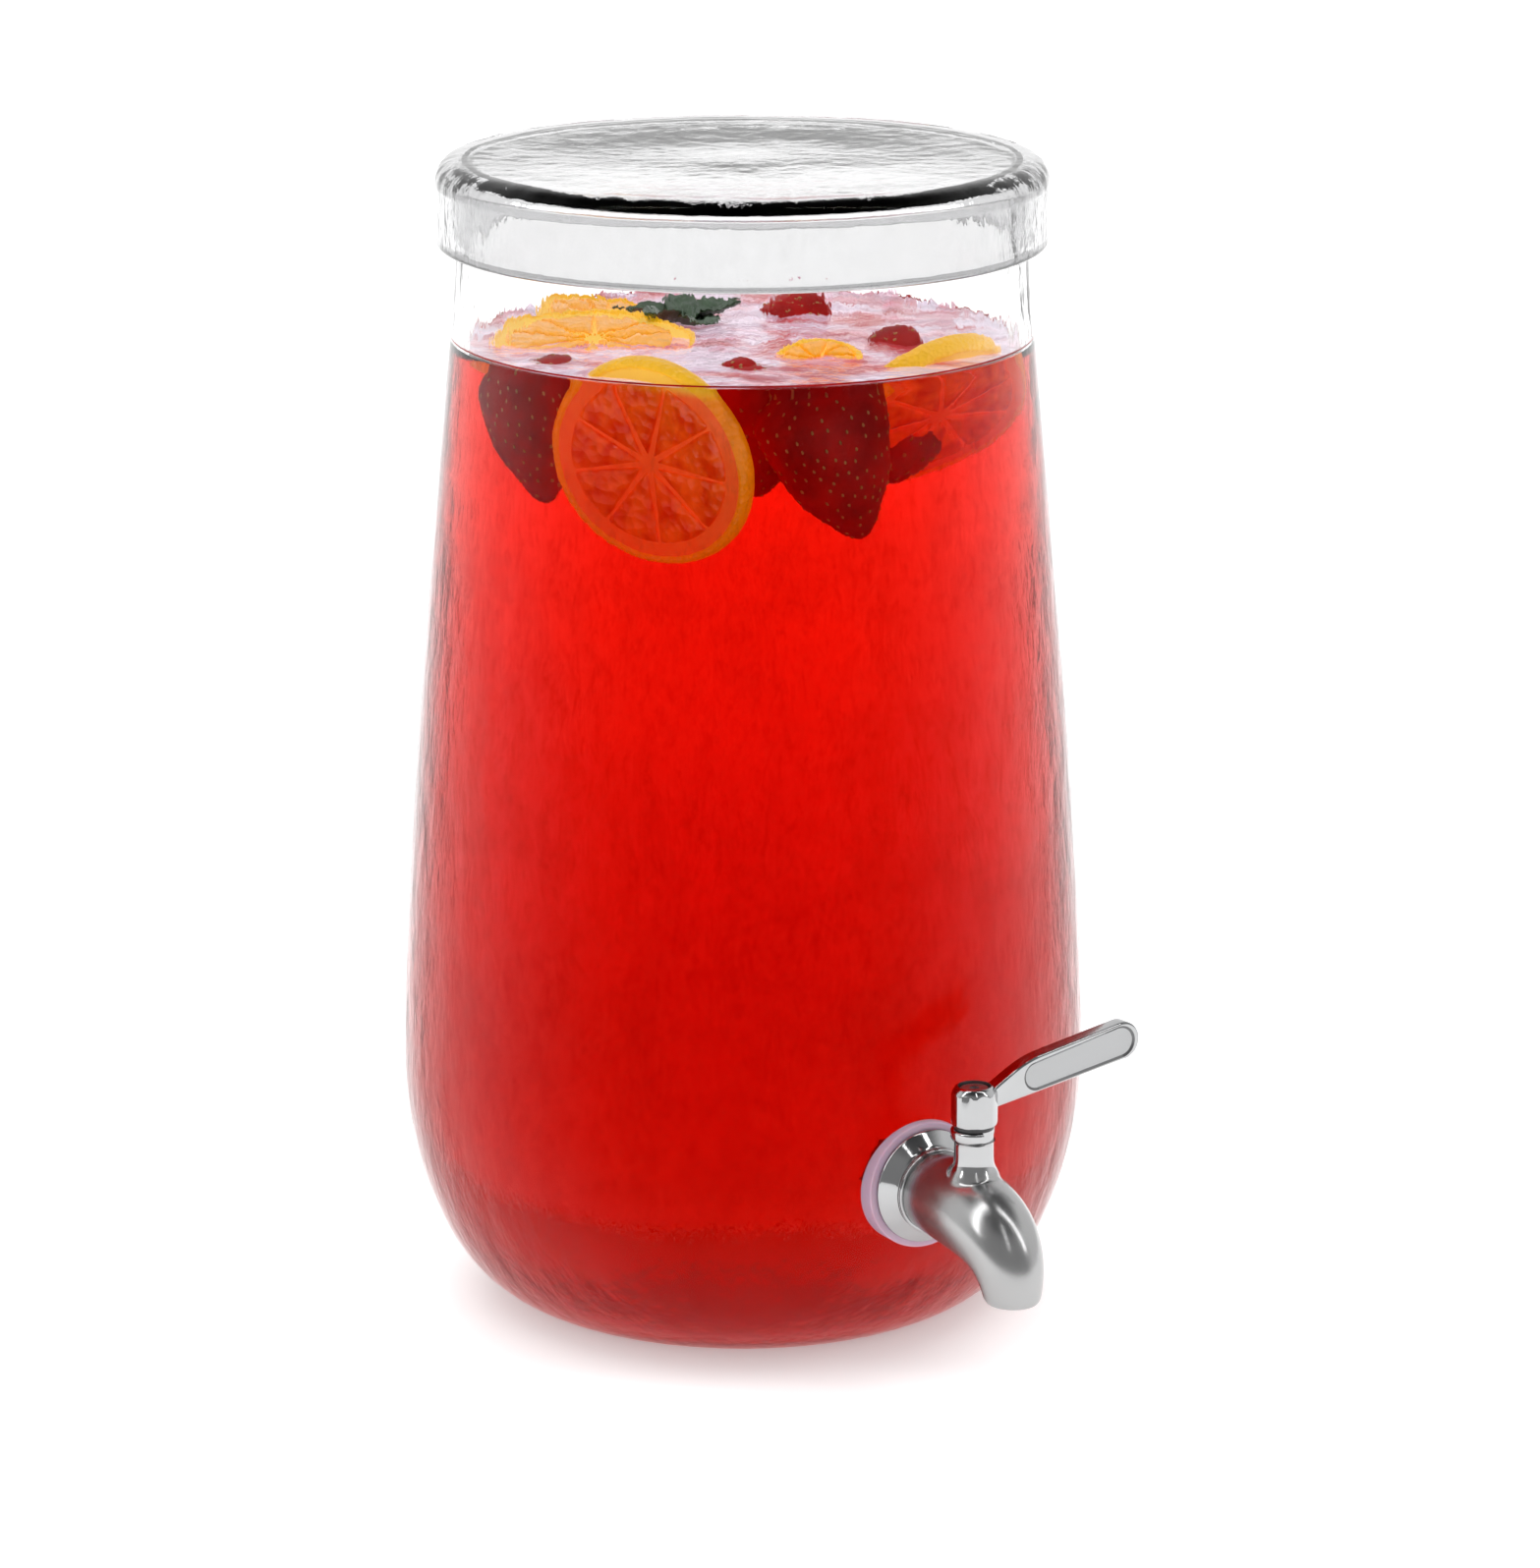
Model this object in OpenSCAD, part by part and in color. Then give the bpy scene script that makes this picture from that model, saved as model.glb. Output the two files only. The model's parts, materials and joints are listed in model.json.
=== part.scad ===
// Glass beverage dispenser with a lift-off glass lid and a quarter-turn ball-valve spigot.
// Millimetres, +Z up. The origin is the centre of the foot, on the table.
// The spigot points along -Y, and its closed lever points along +X.

/* [Jar] */
// Radius of the ring that the jar stands on
foot_r = 70; // [66:1:74]
// Largest radius of the jar, low on its side
belly_r = 114.5; // [112:0.5:117]
// Height of the largest radius
belly_z = 82; // [78:1:86]
// Radius of the neck where the side stops curving
neck_r = 94; // [93:0.5:95]
// Height where the side stops curving
neck_z = 344; // [335:1:350]
// Outside radius of the rim
rim_r = 92.5; // [91:0.5:93.5]
// Height of the flat rim that the lid rests on
rim_z = 379; // [374:1:384]
// Thickness of the glass wall
wall_t = 4.5; // [4:0.1:5]
// Thickness of the glass at the middle of the base
base_t = 9; // [7:0.5:11]

/* [Lid] */
// Outside radius of the lid
lid_r = 100; // [99:0.5:102]
// Thickness of the lid's top plate
lid_t = 5.6; // [5:0.1:7]
// Thickness of the lid's skirt
skirt_t = 4.4; // [4:0.1:5]
// Height of the skirt below the plate
skirt_h = 23; // [18:1:28]
// Radius of the lid's rounded top edge
lid_edge_r = 7; // [5:0.5:8]

/* [Spigot] */
// Height of the spigot's axis above the table
spigot_z = 66.5; // [64:0.5:70]
// Radius of the threaded shank that passes through the glass
shank_r = 8; // [7.5:0.1:8.2]
// Radius of the flow passage
flow_r = 5; // [4.5:0.1:5.2]
// Radius of the silicone gasket outside the glass
gasket_r = 21; // [19:0.5:22]
// Radius of the polished flange
flange_r = 18.8; // [17:0.1:19.5]
// Radius of the spout where it meets the flange
spout_root_r = 13.3; // [12.9:0.1:13.6]
// Radius of the spout at its mouth
spout_mouth_r = 8.9; // [8.5:0.1:9.2]
// Distance from the stem to the centre of the mouth
spout_reach = 23.5; // [22:0.5:25]
// Height of the spigot's axis above the mouth
spout_drop = 23.5; // [22:0.5:25]
// Radius of the valve ball
ball_r = 8.5; // [8.3:0.1:8.6]
// Radius of the valve stem
stem_r = 4.75; // [4.6:0.05:4.8]

/* [Lever] */
// Radius of the lever's hub
hub_r = 7.4; // [7.2:0.1:7.6]
// Distance from the stem to the centre of the lever's round end
lever_l = 54.5; // [48:0.5:60]
// Radius of the lever's round end, half its width
lever_r = 6.2; // [5.8:0.1:6.6]
// Thickness of the lever
lever_t = 5.5; // [4.5:0.1:6]
// Quarter-turn swing of the lever, from closed to open
swing = 90; // [80:1:90]

/* [Hidden] */
$fn = 96;

// Small gaps: a running fit, and a gap between faces that never touch
fit = 0.05;
gap = 0.3;
// Overshoot of a cutting solid past the face that it cuts
cut = 1;

// The jar's outline: two cubic curves, from the foot to the belly and from the belly to the neck
foot_curve = [[foot_r, 0], [foot_r + 26, 0], [belly_r, belly_z - 43], [belly_r, belly_z]];
side_curve = [[belly_r, belly_z], [belly_r, belly_z + 59], [neck_r + 6.2, neck_z - 66],
    [neck_r, neck_z]];
curve_steps = 14;
fine_fn = 360;
rim_round = 1.2;
punt_r = foot_r - 9;
punt_h = 1.2;
punt_bevel = 3;

// Distances from the jar's axis along the spigot
glass_s = belly_r - 0.5;
gasket_s = glass_s + 3.5;
flange_cone_s = gasket_s + 1.4;
flange_collar_s = flange_cone_s + 3.6;
spout_s = flange_collar_s + 2.5;
stem_s = glass_s + 32;
mouth_s = stem_s + spout_reach;
hole_r = shank_r + 0.4;
hole_l = 30;
inner_gasket_s = glass_s - wall_t - 5;
inner_gasket_r = 16;
washer_r = 15;
washer_t = 1.5;
nut_s = inner_gasket_s - washer_t;
nut_t = 8;
nut_flats = 24;
shank_s = nut_s - nut_t - 3.5;
thread_pitch = 1.5;
thread_depth = 0.7;

// The valve's inside
adapter_r = 10.2;
chamber_r = 9.1;
seat_r = chamber_r - fit;
seat_l = 4.1;
seat_start = stem_s - 8.5;
seat_end = stem_s + 8.5;
ball_gap = 0.1;
o_ring_t = 1.7;
o_ring_groove_w = o_ring_t + 0.2;
slot_w = 3;
slot_floor = 6;
tang_w = slot_w - gap;
tang_l = 6.4;

// Heights above the spigot's axis
shoulder_z = 9.4;
shoulder_top = 11;
shoulder_r = 6.2;
chest_top = 12.1;
collar_r = 6.3;
collar_rim_z = 24.5;
collar_top = 27.5;
collar_rim_r = 7.6;
collar_edge = 0.4;
// The flare at the collar's foot, as [added radius, height]
collar_flare = [[1.6, 13.2], [0.5, 14.6], [0, 16.4]];
lower_groove_z = 15;
upper_groove_z = 20;
hub_z = 29;
hub_top = 41.6;
hub_flats = 8;
hub_flats_turn = 15;
recess_r = 5.3;
recess_z = 38.4;
screw_r = 2;
screw_end_z = 26;
screw_hole_z = 24;
screw_head_r = 4.7;
screw_head_t = 1.9;
screw_washer_t = 0.6;
socket_flats = 3;
square_w = 6.4;
square_top = 37;
tab_half_angle = 6;
notch_spare = 1;

// The lever's outline, from the stem's axis and the spigot's axis
lever_root = [4, 33.4];
lever_tip = [lever_l, 48.3];
lever_kink = [18.4, 47.7];
lever_crown = [5, 39.8];
panel_start = [21.8, 41.9];
panel_end = [lever_l - 0.9, 48.1];
panel_start_r = 4.2;
panel_end_r = 4.75;
panel_depth = 0.5;

// The spout's centreline from its root to its mouth, as [distance, height], and its taper
spout_curve = [[spout_s, 0], [spout_s + 19, 0], [mouth_s, 1.5], [mouth_s, -spout_drop]];
spout_belly_r = 16.2;
spout_steps = 16;
spout_sides = 40;
mouth_lip = 0.8;
mouth_bore_r = 6.6;
mouth_bore_l = spout_drop - 9.5;
notch_bite = 0.1;

function bezier(p, t) = pow(1 - t, 3) * p[0] + 3 * t * pow(1 - t, 2) * p[1]
    + 3 * t * t * (1 - t) * p[2] + pow(t, 3) * p[3];
function bezier_way(p, t) = 3 * pow(1 - t, 2) * (p[1] - p[0])
    + 6 * t * (1 - t) * (p[2] - p[1]) + 3 * t * t * (p[3] - p[2]);
// A point of a curve, moved towards its left side by a distance
function inset(p, t, d) = let (w = bezier_way(p, t)) bezier(p, t) + d * [-w[1], w[0]] / norm(w);

foot_outside = [for (i = [0 : curve_steps]) bezier(foot_curve, i / curve_steps)];
side_outside = [for (i = [1 : curve_steps]) bezier(side_curve, i / curve_steps)];
foot_inside = [for (i = [0 : curve_steps]) let (t = i / curve_steps)
    inset(foot_curve, t, base_t + (wall_t - base_t) * t)];
side_inside = [for (i = [1 : curve_steps]) inset(side_curve, i / curve_steps, wall_t)];
rim_inner_r = rim_r - wall_t;

// The spigot's own frame: +Z runs out from the jar's axis, and +Y is up
module along_spigot(s = 0) {
    translate([0, 0, spigot_z]) rotate([90, 0, 0]) translate([0, 0, s]) children();
}

// The stem's own frame: +Z is up from the spigot's axis
module on_stem(h = 0) {
    translate([0, -stem_s, spigot_z + h]) children();
}

module ring(r_out, r_in, h) {
    difference() {
        cylinder(r = r_out, h = h);
        translate([0, 0, -cut]) cylinder(r = r_in, h = h + 2 * cut);
    }
}

module o_ring(r_out, t) {
    rotate_extrude() translate([r_out - t / 2, 0]) circle(d = t, $fn = 32);
}

module jar_outer_solid() {
    rotate_extrude($fn = fine_fn) polygon(concat([[0, 0]], foot_outside, side_outside,
        [[rim_r, rim_z], [0, rim_z]]));
}

module jar_inner_solid() {
    rotate_extrude($fn = fine_fn) polygon(concat([[0, base_t]], foot_inside, side_inside,
        [[rim_inner_r, rim_z - rim_round], [rim_inner_r, rim_z + cut], [0, rim_z + cut]]));
}

module jar() {
    color([0.9, 0.95, 0.97, 0.35]) difference() {
        rotate_extrude() polygon(concat([[0, punt_h], [punt_r - punt_bevel, punt_h], [punt_r, 0]],
            foot_outside, side_outside,
            [[rim_r, rim_z - rim_round], [rim_r - rim_round, rim_z],
             [rim_inner_r + rim_round, rim_z], [rim_inner_r, rim_z - rim_round]],
            [for (i = [len(side_inside) - 1 : -1 : 0]) side_inside[i]],
            [for (i = [len(foot_inside) - 1 : -1 : 0]) foot_inside[i]],
            [[0, base_t]]));
        along_spigot(glass_s - hole_l / 2) cylinder(r = hole_r, h = hole_l);
    }
}

module lid() {
    plate_top = rim_z + lid_t;
    skirt_inner_r = lid_r - skirt_t;
    edge = [for (i = [0 : 8]) let (a = i * 90 / 8)
        [lid_r - lid_edge_r + lid_edge_r * cos(a), plate_top - lid_edge_r + lid_edge_r * sin(a)]];
    skirt_round = 1.5;
    color([0.93, 0.95, 0.96, 0.35]) rotate_extrude() polygon(concat(
        [[0, rim_z], [skirt_inner_r - 2, rim_z], [skirt_inner_r, rim_z - 2],
         [skirt_inner_r, rim_z - skirt_h + skirt_round],
         [skirt_inner_r + skirt_round, rim_z - skirt_h],
         [lid_r - skirt_round, rim_z - skirt_h], [lid_r, rim_z - skirt_h + skirt_round]],
        edge, [[0, plate_top]]));
}

module outer_gasket() {
    color([0.85, 0.68, 0.76]) difference() {
        along_spigot(glass_s - 8) ring(gasket_r, hole_r, gasket_s - glass_s + 8);
        jar_outer_solid();
    }
}

module flange() {
    groove = 0.5;
    collar_r2 = 14.2;
    color([0.85, 0.86, 0.88]) along_spigot() rotate_extrude() polygon([
        [shank_r + fit, gasket_s], [flange_r - 0.6, gasket_s], [flange_r, gasket_s + 0.6],
        [flange_r, flange_cone_s], [collar_r2 + 0.2, flange_collar_s],
        [collar_r2, flange_collar_s + groove], [collar_r2 - groove, flange_collar_s + groove],
        [collar_r2 - groove, flange_collar_s + 2 * groove],
        [collar_r2, flange_collar_s + 2 * groove], [collar_r2, flange_collar_s + 3 * groove],
        [collar_r2 - groove, flange_collar_s + 3 * groove],
        [collar_r2 - groove, flange_collar_s + 4 * groove],
        [collar_r2 - 0.2, flange_collar_s + 4 * groove], [collar_r2 - 0.4, spout_s],
        [shank_r + fit, spout_s]]);
}

function spout_radius(t) = spout_root_r * pow(1 - t, 2) + spout_belly_r * 2 * t * (1 - t)
    + spout_mouth_r * t * t;

function spout_ring(t, r) = let (c = bezier(spout_curve, t), w = bezier_way(spout_curve, t),
    u = w / norm(w)) [for (j = [0 : spout_sides - 1]) let (a = 360 * j / spout_sides)
        [r * cos(a), c[1] + r * sin(a) * u[0], c[0] - r * sin(a) * u[1]]];

// The curved, tapering outside of the spout, closed by flat ends
module horn() {
    stations = concat([for (i = [0 : spout_steps - 1]) [i / spout_steps,
        spout_radius(i / spout_steps)]],
        [[1 - 0.35 / spout_steps, spout_radius(1)], [1, spout_radius(1) - mouth_lip]]);
    n = spout_sides;
    last = (len(stations) - 1) * n;
    polyhedron(points = [for (k = stations) each spout_ring(k[0], k[1])],
        faces = concat([[for (j = [0 : n - 1]) j]],
            [for (i = [0 : len(stations) - 2]) for (j = [0 : n - 1]) let (m = (j + 1) % n)
                each [[i * n + j, i * n + n + j, i * n + n + m],
                      [i * n + j, i * n + n + m, i * n + m]]],
            [[for (j = [n - 1 : -1 : 0]) last + j]]));
}

// A slanting bore out of the valve chamber, which meets a wider one up from the mouth
module flow_passage() {
    slant_start = [stem_s + 2, flow_r];
    slant_run = mouth_s - 2 - slant_start[0];
    along_spigot() translate([0, slant_start[1], slant_start[0]]) rotate([45, 0, 0])
        cylinder(r = flow_r, h = slant_run * sqrt(2));
    on_stem(-spout_drop - cut) translate([0, stem_s - mouth_s, 0])
        cylinder(r = mouth_bore_r, h = mouth_bore_l + cut);
}

module stop_notch() {
    notch_half = (swing + 2 * (tab_half_angle + notch_spare)) / 2;
    far = 3 * collar_rim_r;
    linear_extrude(height = collar_top - collar_rim_z + 2 * cut) difference() {
        rotate(-swing / 2) polygon([[0, 0], [far * cos(notch_half), -far * sin(notch_half)],
            [far, -far * sin(notch_half)], [far, far * sin(notch_half)],
            [far * cos(notch_half), far * sin(notch_half)]]);
        circle(r = collar_r - notch_bite);
    }
}

module stem_collar() {
    rotate_extrude() polygon(concat(
        [[0, shoulder_z], [collar_r + collar_flare[0][0], shoulder_z]],
        [for (f = collar_flare) [collar_r + f[0], f[1]]],
        [[collar_r, collar_rim_z - 1], [collar_rim_r, collar_rim_z],
         [collar_rim_r, collar_top - collar_edge], [collar_rim_r - collar_edge, collar_top],
         [0, collar_top]]));
}

module spout_body() {
    color([0.62, 0.62, 0.62]) difference() {
        union() {
            along_spigot() horn();
            on_stem() stem_collar();
        }
        on_stem(collar_rim_z - cut) stop_notch();
        along_spigot(spout_s - cut) cylinder(r = adapter_r, h = seat_start - spout_s + cut);
        along_spigot(seat_start - cut) cylinder(r = chamber_r, h = seat_end - seat_start + cut);
        on_stem() cylinder(r = shoulder_r + 0.2, h = chest_top);
        on_stem() cylinder(r = stem_r + fit, h = collar_top + cut);
        flow_passage();
    }
}

module threaded_shank() {
    grooves = floor((gasket_s - shank_s - 2) / thread_pitch);
    groove_r = seat_r - 1.2;
    color([0.66, 0.66, 0.67]) along_spigot() rotate_extrude() polygon(concat(
        [[flow_r, shank_s], [shank_r - thread_depth, shank_s]],
        [for (i = [0 : grooves - 1]) let (s = shank_s + 1 + i * thread_pitch)
            each [[shank_r, s], [shank_r - thread_depth, s + thread_pitch / 2]]],
        [[shank_r, gasket_s], [shank_r, spout_s], [adapter_r - fit, spout_s],
         [adapter_r - fit, seat_start - 3], [groove_r, seat_start - 3],
         [groove_r, seat_start - 0.9], [adapter_r - fit, seat_start - 0.9],
         [adapter_r - fit, seat_start], [flow_r, seat_start]]));
}

module shank_o_ring() {
    color([0.08, 0.08, 0.08]) along_spigot(seat_start - 1.95) o_ring(adapter_r - 0.05, 2.05);
}

module inner_gasket() {
    color([0.85, 0.68, 0.76]) intersection() {
        along_spigot(inner_gasket_s) ring(inner_gasket_r, shank_r + 0.2, 12);
        jar_inner_solid();
    }
}

module inner_washer() {
    color([0.7, 0.7, 0.7]) along_spigot(nut_s) ring(washer_r, shank_r + 0.2, washer_t);
}

module lock_nut() {
    corner_r = nut_flats / 2 / cos(30);
    color([0.72, 0.72, 0.72]) along_spigot(nut_s - nut_t) intersection() {
        difference() {
            cylinder(r = corner_r, h = nut_t, $fn = 6);
            translate([0, 0, -cut]) cylinder(r = shank_r + fit, h = nut_t + 2 * cut);
        }
        rotate_extrude() polygon([[0, 0], [corner_r - 1.6, 0], [corner_r, 1.2],
            [corner_r, nut_t - 1.2], [corner_r - 1.6, nut_t], [0, nut_t]]);
    }
}

module seat_ring(s) {
    color([0.95, 0.95, 0.93]) difference() {
        along_spigot(s) ring(seat_r, flow_r, seat_l);
        along_spigot(stem_s) sphere(r = ball_r + ball_gap);
    }
}

module rear_seat() {
    seat_ring(seat_start);
}

module front_seat() {
    seat_ring(seat_end - seat_l);
}

module ball() {
    color([0.8, 0.81, 0.82]) on_stem() difference() {
        sphere(r = ball_r);
        rotate([0, 90, 0]) cylinder(r = flow_r, h = 3 * ball_r, center = true);
        translate([-slot_w / 2, -ball_r, slot_floor]) cube([slot_w, 2 * ball_r, ball_r]);
    }
}

module stem() {
    groove_r = stem_r - o_ring_t;
    low = lower_groove_z;
    high = upper_groove_z;
    color([0.75, 0.76, 0.77]) on_stem() difference() {
        union() {
            translate([-tang_w / 2, -tang_l / 2, slot_floor + gap])
                cube([tang_w, tang_l, shoulder_z - slot_floor]);
            rotate_extrude() polygon([[0, shoulder_z], [shoulder_r, shoulder_z],
                [shoulder_r, shoulder_top], [stem_r, shoulder_top],
                [stem_r, low], [groove_r, low], [groove_r, low + o_ring_groove_w],
                [stem_r, low + o_ring_groove_w],
                [stem_r, high], [groove_r, high], [groove_r, high + o_ring_groove_w],
                [stem_r, high + o_ring_groove_w],
                [stem_r, hub_z], [0, hub_z]]);
            translate([-square_w / 2, -square_w / 2, hub_z - 1])
                cube([square_w, square_w, square_top - hub_z + 0.7]);
        }
        translate([0, 0, screw_hole_z]) cylinder(r = screw_r + fit, h = square_top);
    }
}

module thrust_washer() {
    color([0.95, 0.95, 0.93]) on_stem(shoulder_top + fit)
        ring(shoulder_r, stem_r + fit, chest_top - shoulder_top - fit);
}

module lower_stem_o_ring() {
    color([0.08, 0.08, 0.08]) on_stem(lower_groove_z + o_ring_groove_w / 2)
        o_ring(stem_r, o_ring_t);
}

module upper_stem_o_ring() {
    color([0.08, 0.08, 0.08]) on_stem(upper_groove_z + o_ring_groove_w / 2)
        o_ring(stem_r, o_ring_t);
}

module hub_seal() {
    seal_gap = 0.1;
    color([0.06, 0.06, 0.06]) on_stem(collar_top + seal_gap)
        ring(collar_r, stem_r + fit, hub_z - collar_top - seal_gap);
}

module lever_outline() {
    slope = atan2(lever_tip[1] - lever_root[1] - lever_r, lever_tip[0] - lever_root[0]);
    under = lever_tip + lever_r * [sin(slope), -cos(slope)];
    over = lever_tip + lever_r * [-sin(slope), cos(slope)];
    polygon([lever_root, under, lever_tip + [1, 0], over, lever_kink, lever_crown]);
    translate(lever_tip) circle(r = lever_r);
}

module panel_outline() {
    way = panel_end - panel_start;
    side = [-way[1], way[0]] / norm(way);
    translate(panel_start) circle(r = panel_start_r);
    translate(panel_end) circle(r = panel_end_r);
    polygon([panel_start + panel_start_r * side, panel_start - panel_start_r * side,
        panel_end - panel_end_r * side, panel_end + panel_end_r * side]);
}

module handle() {
    flat_r = hub_r - 0.35;
    color([0.78, 0.79, 0.8]) on_stem() difference() {
        union() {
            intersection() {
                rotate_extrude() polygon([[0, hub_z], [hub_r - 0.8, hub_z],
                    [hub_r - 0.2, hub_z + 0.6], [hub_r, hub_z + 1.6], [hub_r, hub_top - 2.4],
                    [hub_r - 0.35, hub_top - 1.1], [hub_r - 1.1, hub_top - 0.2],
                    [hub_r - 1.7, hub_top], [0, hub_top]]);
                rotate(hub_flats_turn)
                    cylinder(r = flat_r / cos(180 / hub_flats), h = hub_top + cut, $fn = hub_flats);
            }
            rotate([90, 0, 0]) translate([0, 0, -lever_t / 2])
                linear_extrude(height = lever_t) lever_outline();
            // The stop tab that runs in the collar's notch
            intersection() {
                translate([0, 0, collar_rim_z + gap])
                    ring(collar_rim_r - 0.4, collar_r + 0.25, hub_z - collar_rim_z);
                linear_extrude(height = hub_top) polygon([[0, 0],
                    [20, -20 * tan(tab_half_angle)], [20, 20 * tan(tab_half_angle)]]);
            }
        }
        for (side = [-1, 1])
            rotate([90, 0, 0]) translate([0, 0, side * lever_t / 2 - panel_depth])
                linear_extrude(height = 2 * panel_depth) panel_outline();
        translate([0, 0, recess_z]) cylinder(r = recess_r, h = 10);
        translate([0, 0, hub_z - cut]) cylinder(r = screw_r + 0.2, h = 20);
        translate([-square_w / 2 - fit, -square_w / 2 - fit, hub_z - cut])
            cube([square_w + 2 * fit, square_w + 2 * fit, square_top - hub_z + cut]);
    }
}

module screw_washer() {
    color([0.7, 0.7, 0.71]) on_stem(recess_z) ring(recess_r - 0.3, screw_r + 0.2, screw_washer_t);
}

module handle_screw() {
    head_z = recess_z + screw_washer_t;
    color([0.45, 0.45, 0.46]) on_stem() difference() {
        rotate_extrude() polygon([[0, screw_end_z], [screw_r - 0.5, screw_end_z], [screw_r, screw_end_z + 0.5],
            [screw_r, head_z], [screw_head_r, head_z], [screw_head_r, head_z + screw_head_t - 0.4],
            [screw_head_r - 0.4, head_z + screw_head_t], [0, head_z + screw_head_t]]);
        translate([0, 0, head_z + 0.3])
            cylinder(d = socket_flats / cos(30), h = screw_head_t + cut, $fn = 6);
    }
}

jar();
lid();
outer_gasket();
flange();
spout_body();
threaded_shank();
shank_o_ring();
inner_gasket();
inner_washer();
lock_nut();
rear_seat();
front_seat();
ball();
stem();
thrust_washer();
lower_stem_o_ring();
upper_stem_o_ring();
hub_seal();
handle();
screw_washer();
handle_screw();
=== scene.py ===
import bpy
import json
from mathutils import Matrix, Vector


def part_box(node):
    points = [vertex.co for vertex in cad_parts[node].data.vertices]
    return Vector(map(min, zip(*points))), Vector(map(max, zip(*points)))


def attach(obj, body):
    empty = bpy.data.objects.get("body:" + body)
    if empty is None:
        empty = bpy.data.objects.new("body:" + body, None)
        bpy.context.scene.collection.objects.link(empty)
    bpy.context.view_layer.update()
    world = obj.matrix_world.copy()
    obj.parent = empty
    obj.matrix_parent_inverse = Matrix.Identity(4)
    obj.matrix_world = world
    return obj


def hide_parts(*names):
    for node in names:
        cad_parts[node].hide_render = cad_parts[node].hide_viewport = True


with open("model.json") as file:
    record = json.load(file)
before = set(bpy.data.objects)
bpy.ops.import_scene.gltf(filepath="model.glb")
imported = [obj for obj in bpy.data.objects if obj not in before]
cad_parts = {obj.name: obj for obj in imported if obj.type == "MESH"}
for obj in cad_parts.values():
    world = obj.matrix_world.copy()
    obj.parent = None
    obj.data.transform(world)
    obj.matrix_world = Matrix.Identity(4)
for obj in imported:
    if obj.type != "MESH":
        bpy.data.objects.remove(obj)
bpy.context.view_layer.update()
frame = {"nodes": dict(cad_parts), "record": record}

import json
import math

import bmesh
import bpy
import numpy as np
from bpy.props import FloatProperty, FloatVectorProperty, IntProperty, PointerProperty
from mathutils import Matrix, Vector, noise

bl_info = {
    "name": "Beverage Dispenser",
    "version": (1, 0, 0),
    "blender": (4, 5, 0),
    "location": "3D View > Sidebar > Dispenser",
    "description": "Builds a glass drink dispenser with its drink, fruit and spigot",
    "category": "Add Mesh",
}

TURN = 2 * math.pi
BODY = "jar_assembly"
SLICE_THICKNESS = 0.007
# Where the spout's mouth is: out from the stem, and down from the spigot's axis
MOUTH_REACH = MOUTH_DROP = 0.0235
# Height at which the cutters for the gaskets stop, above both gaskets
CUTTER_TOP = 0.344
# The room's shades in front and behind
DARK_ROOM, WHITE_ROOM = (0.07, 0.07, 0.072), (0.97, 0.97, 0.97)

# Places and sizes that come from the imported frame
JAR_LOW, JAR_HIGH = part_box("jar")
LID_LOW, LID_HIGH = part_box("lid")
FLANGE_LOW, FLANGE_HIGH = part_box("flange")
GASKET_LOW, GASKET_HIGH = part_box("outer_gasket")
SPOUT_LOW, SPOUT_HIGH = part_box("spout_body")
SEAL_LOW, SEAL_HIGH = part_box("hub_seal")
HANDLE_LOW, HANDLE_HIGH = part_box("handle")
SHANK_LOW, SHANK_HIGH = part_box("threaded_shank")
SPIGOT_Z = (FLANGE_LOW.z + FLANGE_HIGH.z) / 2
STEM_Y = (SEAL_LOW.y + SEAL_HIGH.y) / 2
# Frames: out along the spigot from the jar's axis, and up the stem from the spigot's axis
SPIGOT = Matrix.Translation((0, 0, SPIGOT_Z)) @ Matrix.Rotation(math.pi / 2, 4, "X")
STEM = Matrix.Translation((0, STEM_Y, SPIGOT_Z))


# ---------------------------------------------------------------- settings


class DispenserGlass(bpy.types.PropertyGroup):
    foot_radius: FloatProperty(
        name="Foot radius", description="Ring the jar stands on", default=0.070, unit="LENGTH"
    )
    belly_radius: FloatProperty(
        name="Belly radius", description="Widest part", default=JAR_HIGH.x, unit="LENGTH"
    )
    belly_height: FloatProperty(
        name="Belly height", description="Height of the widest part", default=0.082, unit="LENGTH"
    )
    neck_radius: FloatProperty(
        name="Neck radius", description="Where the side turns straight", default=0.094, unit="LENGTH"
    )
    neck_height: FloatProperty(
        name="Neck height", description="Height of the neck", default=0.344, unit="LENGTH"
    )
    rim_radius: FloatProperty(
        name="Rim radius", description="Outside of the rim", default=0.0925, unit="LENGTH"
    )
    wall: FloatProperty(name="Wall", description="Glass thickness", default=0.0045, unit="LENGTH")
    base: FloatProperty(
        name="Base", description="Glass thickness under the drink", default=0.009, unit="LENGTH"
    )
    hammer_depth: FloatProperty(
        name="Hammer depth", description="Depth of the hammered ripples", default=0.00013,
        unit="LENGTH",
    )
    hammer_size: FloatProperty(
        name="Hammer size", description="Width of one ripple", default=0.0075, unit="LENGTH"
    )


class DispenserDrink(bpy.types.PropertyGroup):
    level: FloatProperty(
        name="Level", description="Height of the drink's surface", default=0.324, unit="LENGTH"
    )
    colour: FloatVectorProperty(
        name="Colour", description="What a short path through the drink lets pass",
        subtype="COLOR", size=3, default=(0.985, 0.25, 0.02),
    )
    strength: FloatProperty(
        name="Strength", description="How strongly the drink absorbs, per metre", default=36.0
    )
    wheel_radius: FloatProperty(
        name="Citrus radius", description="Radius of a citrus wheel", default=0.0345, unit="LENGTH"
    )
    segments: IntProperty(
        name="Citrus segments", description="Segments of a citrus wheel", default=9
    )


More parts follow.
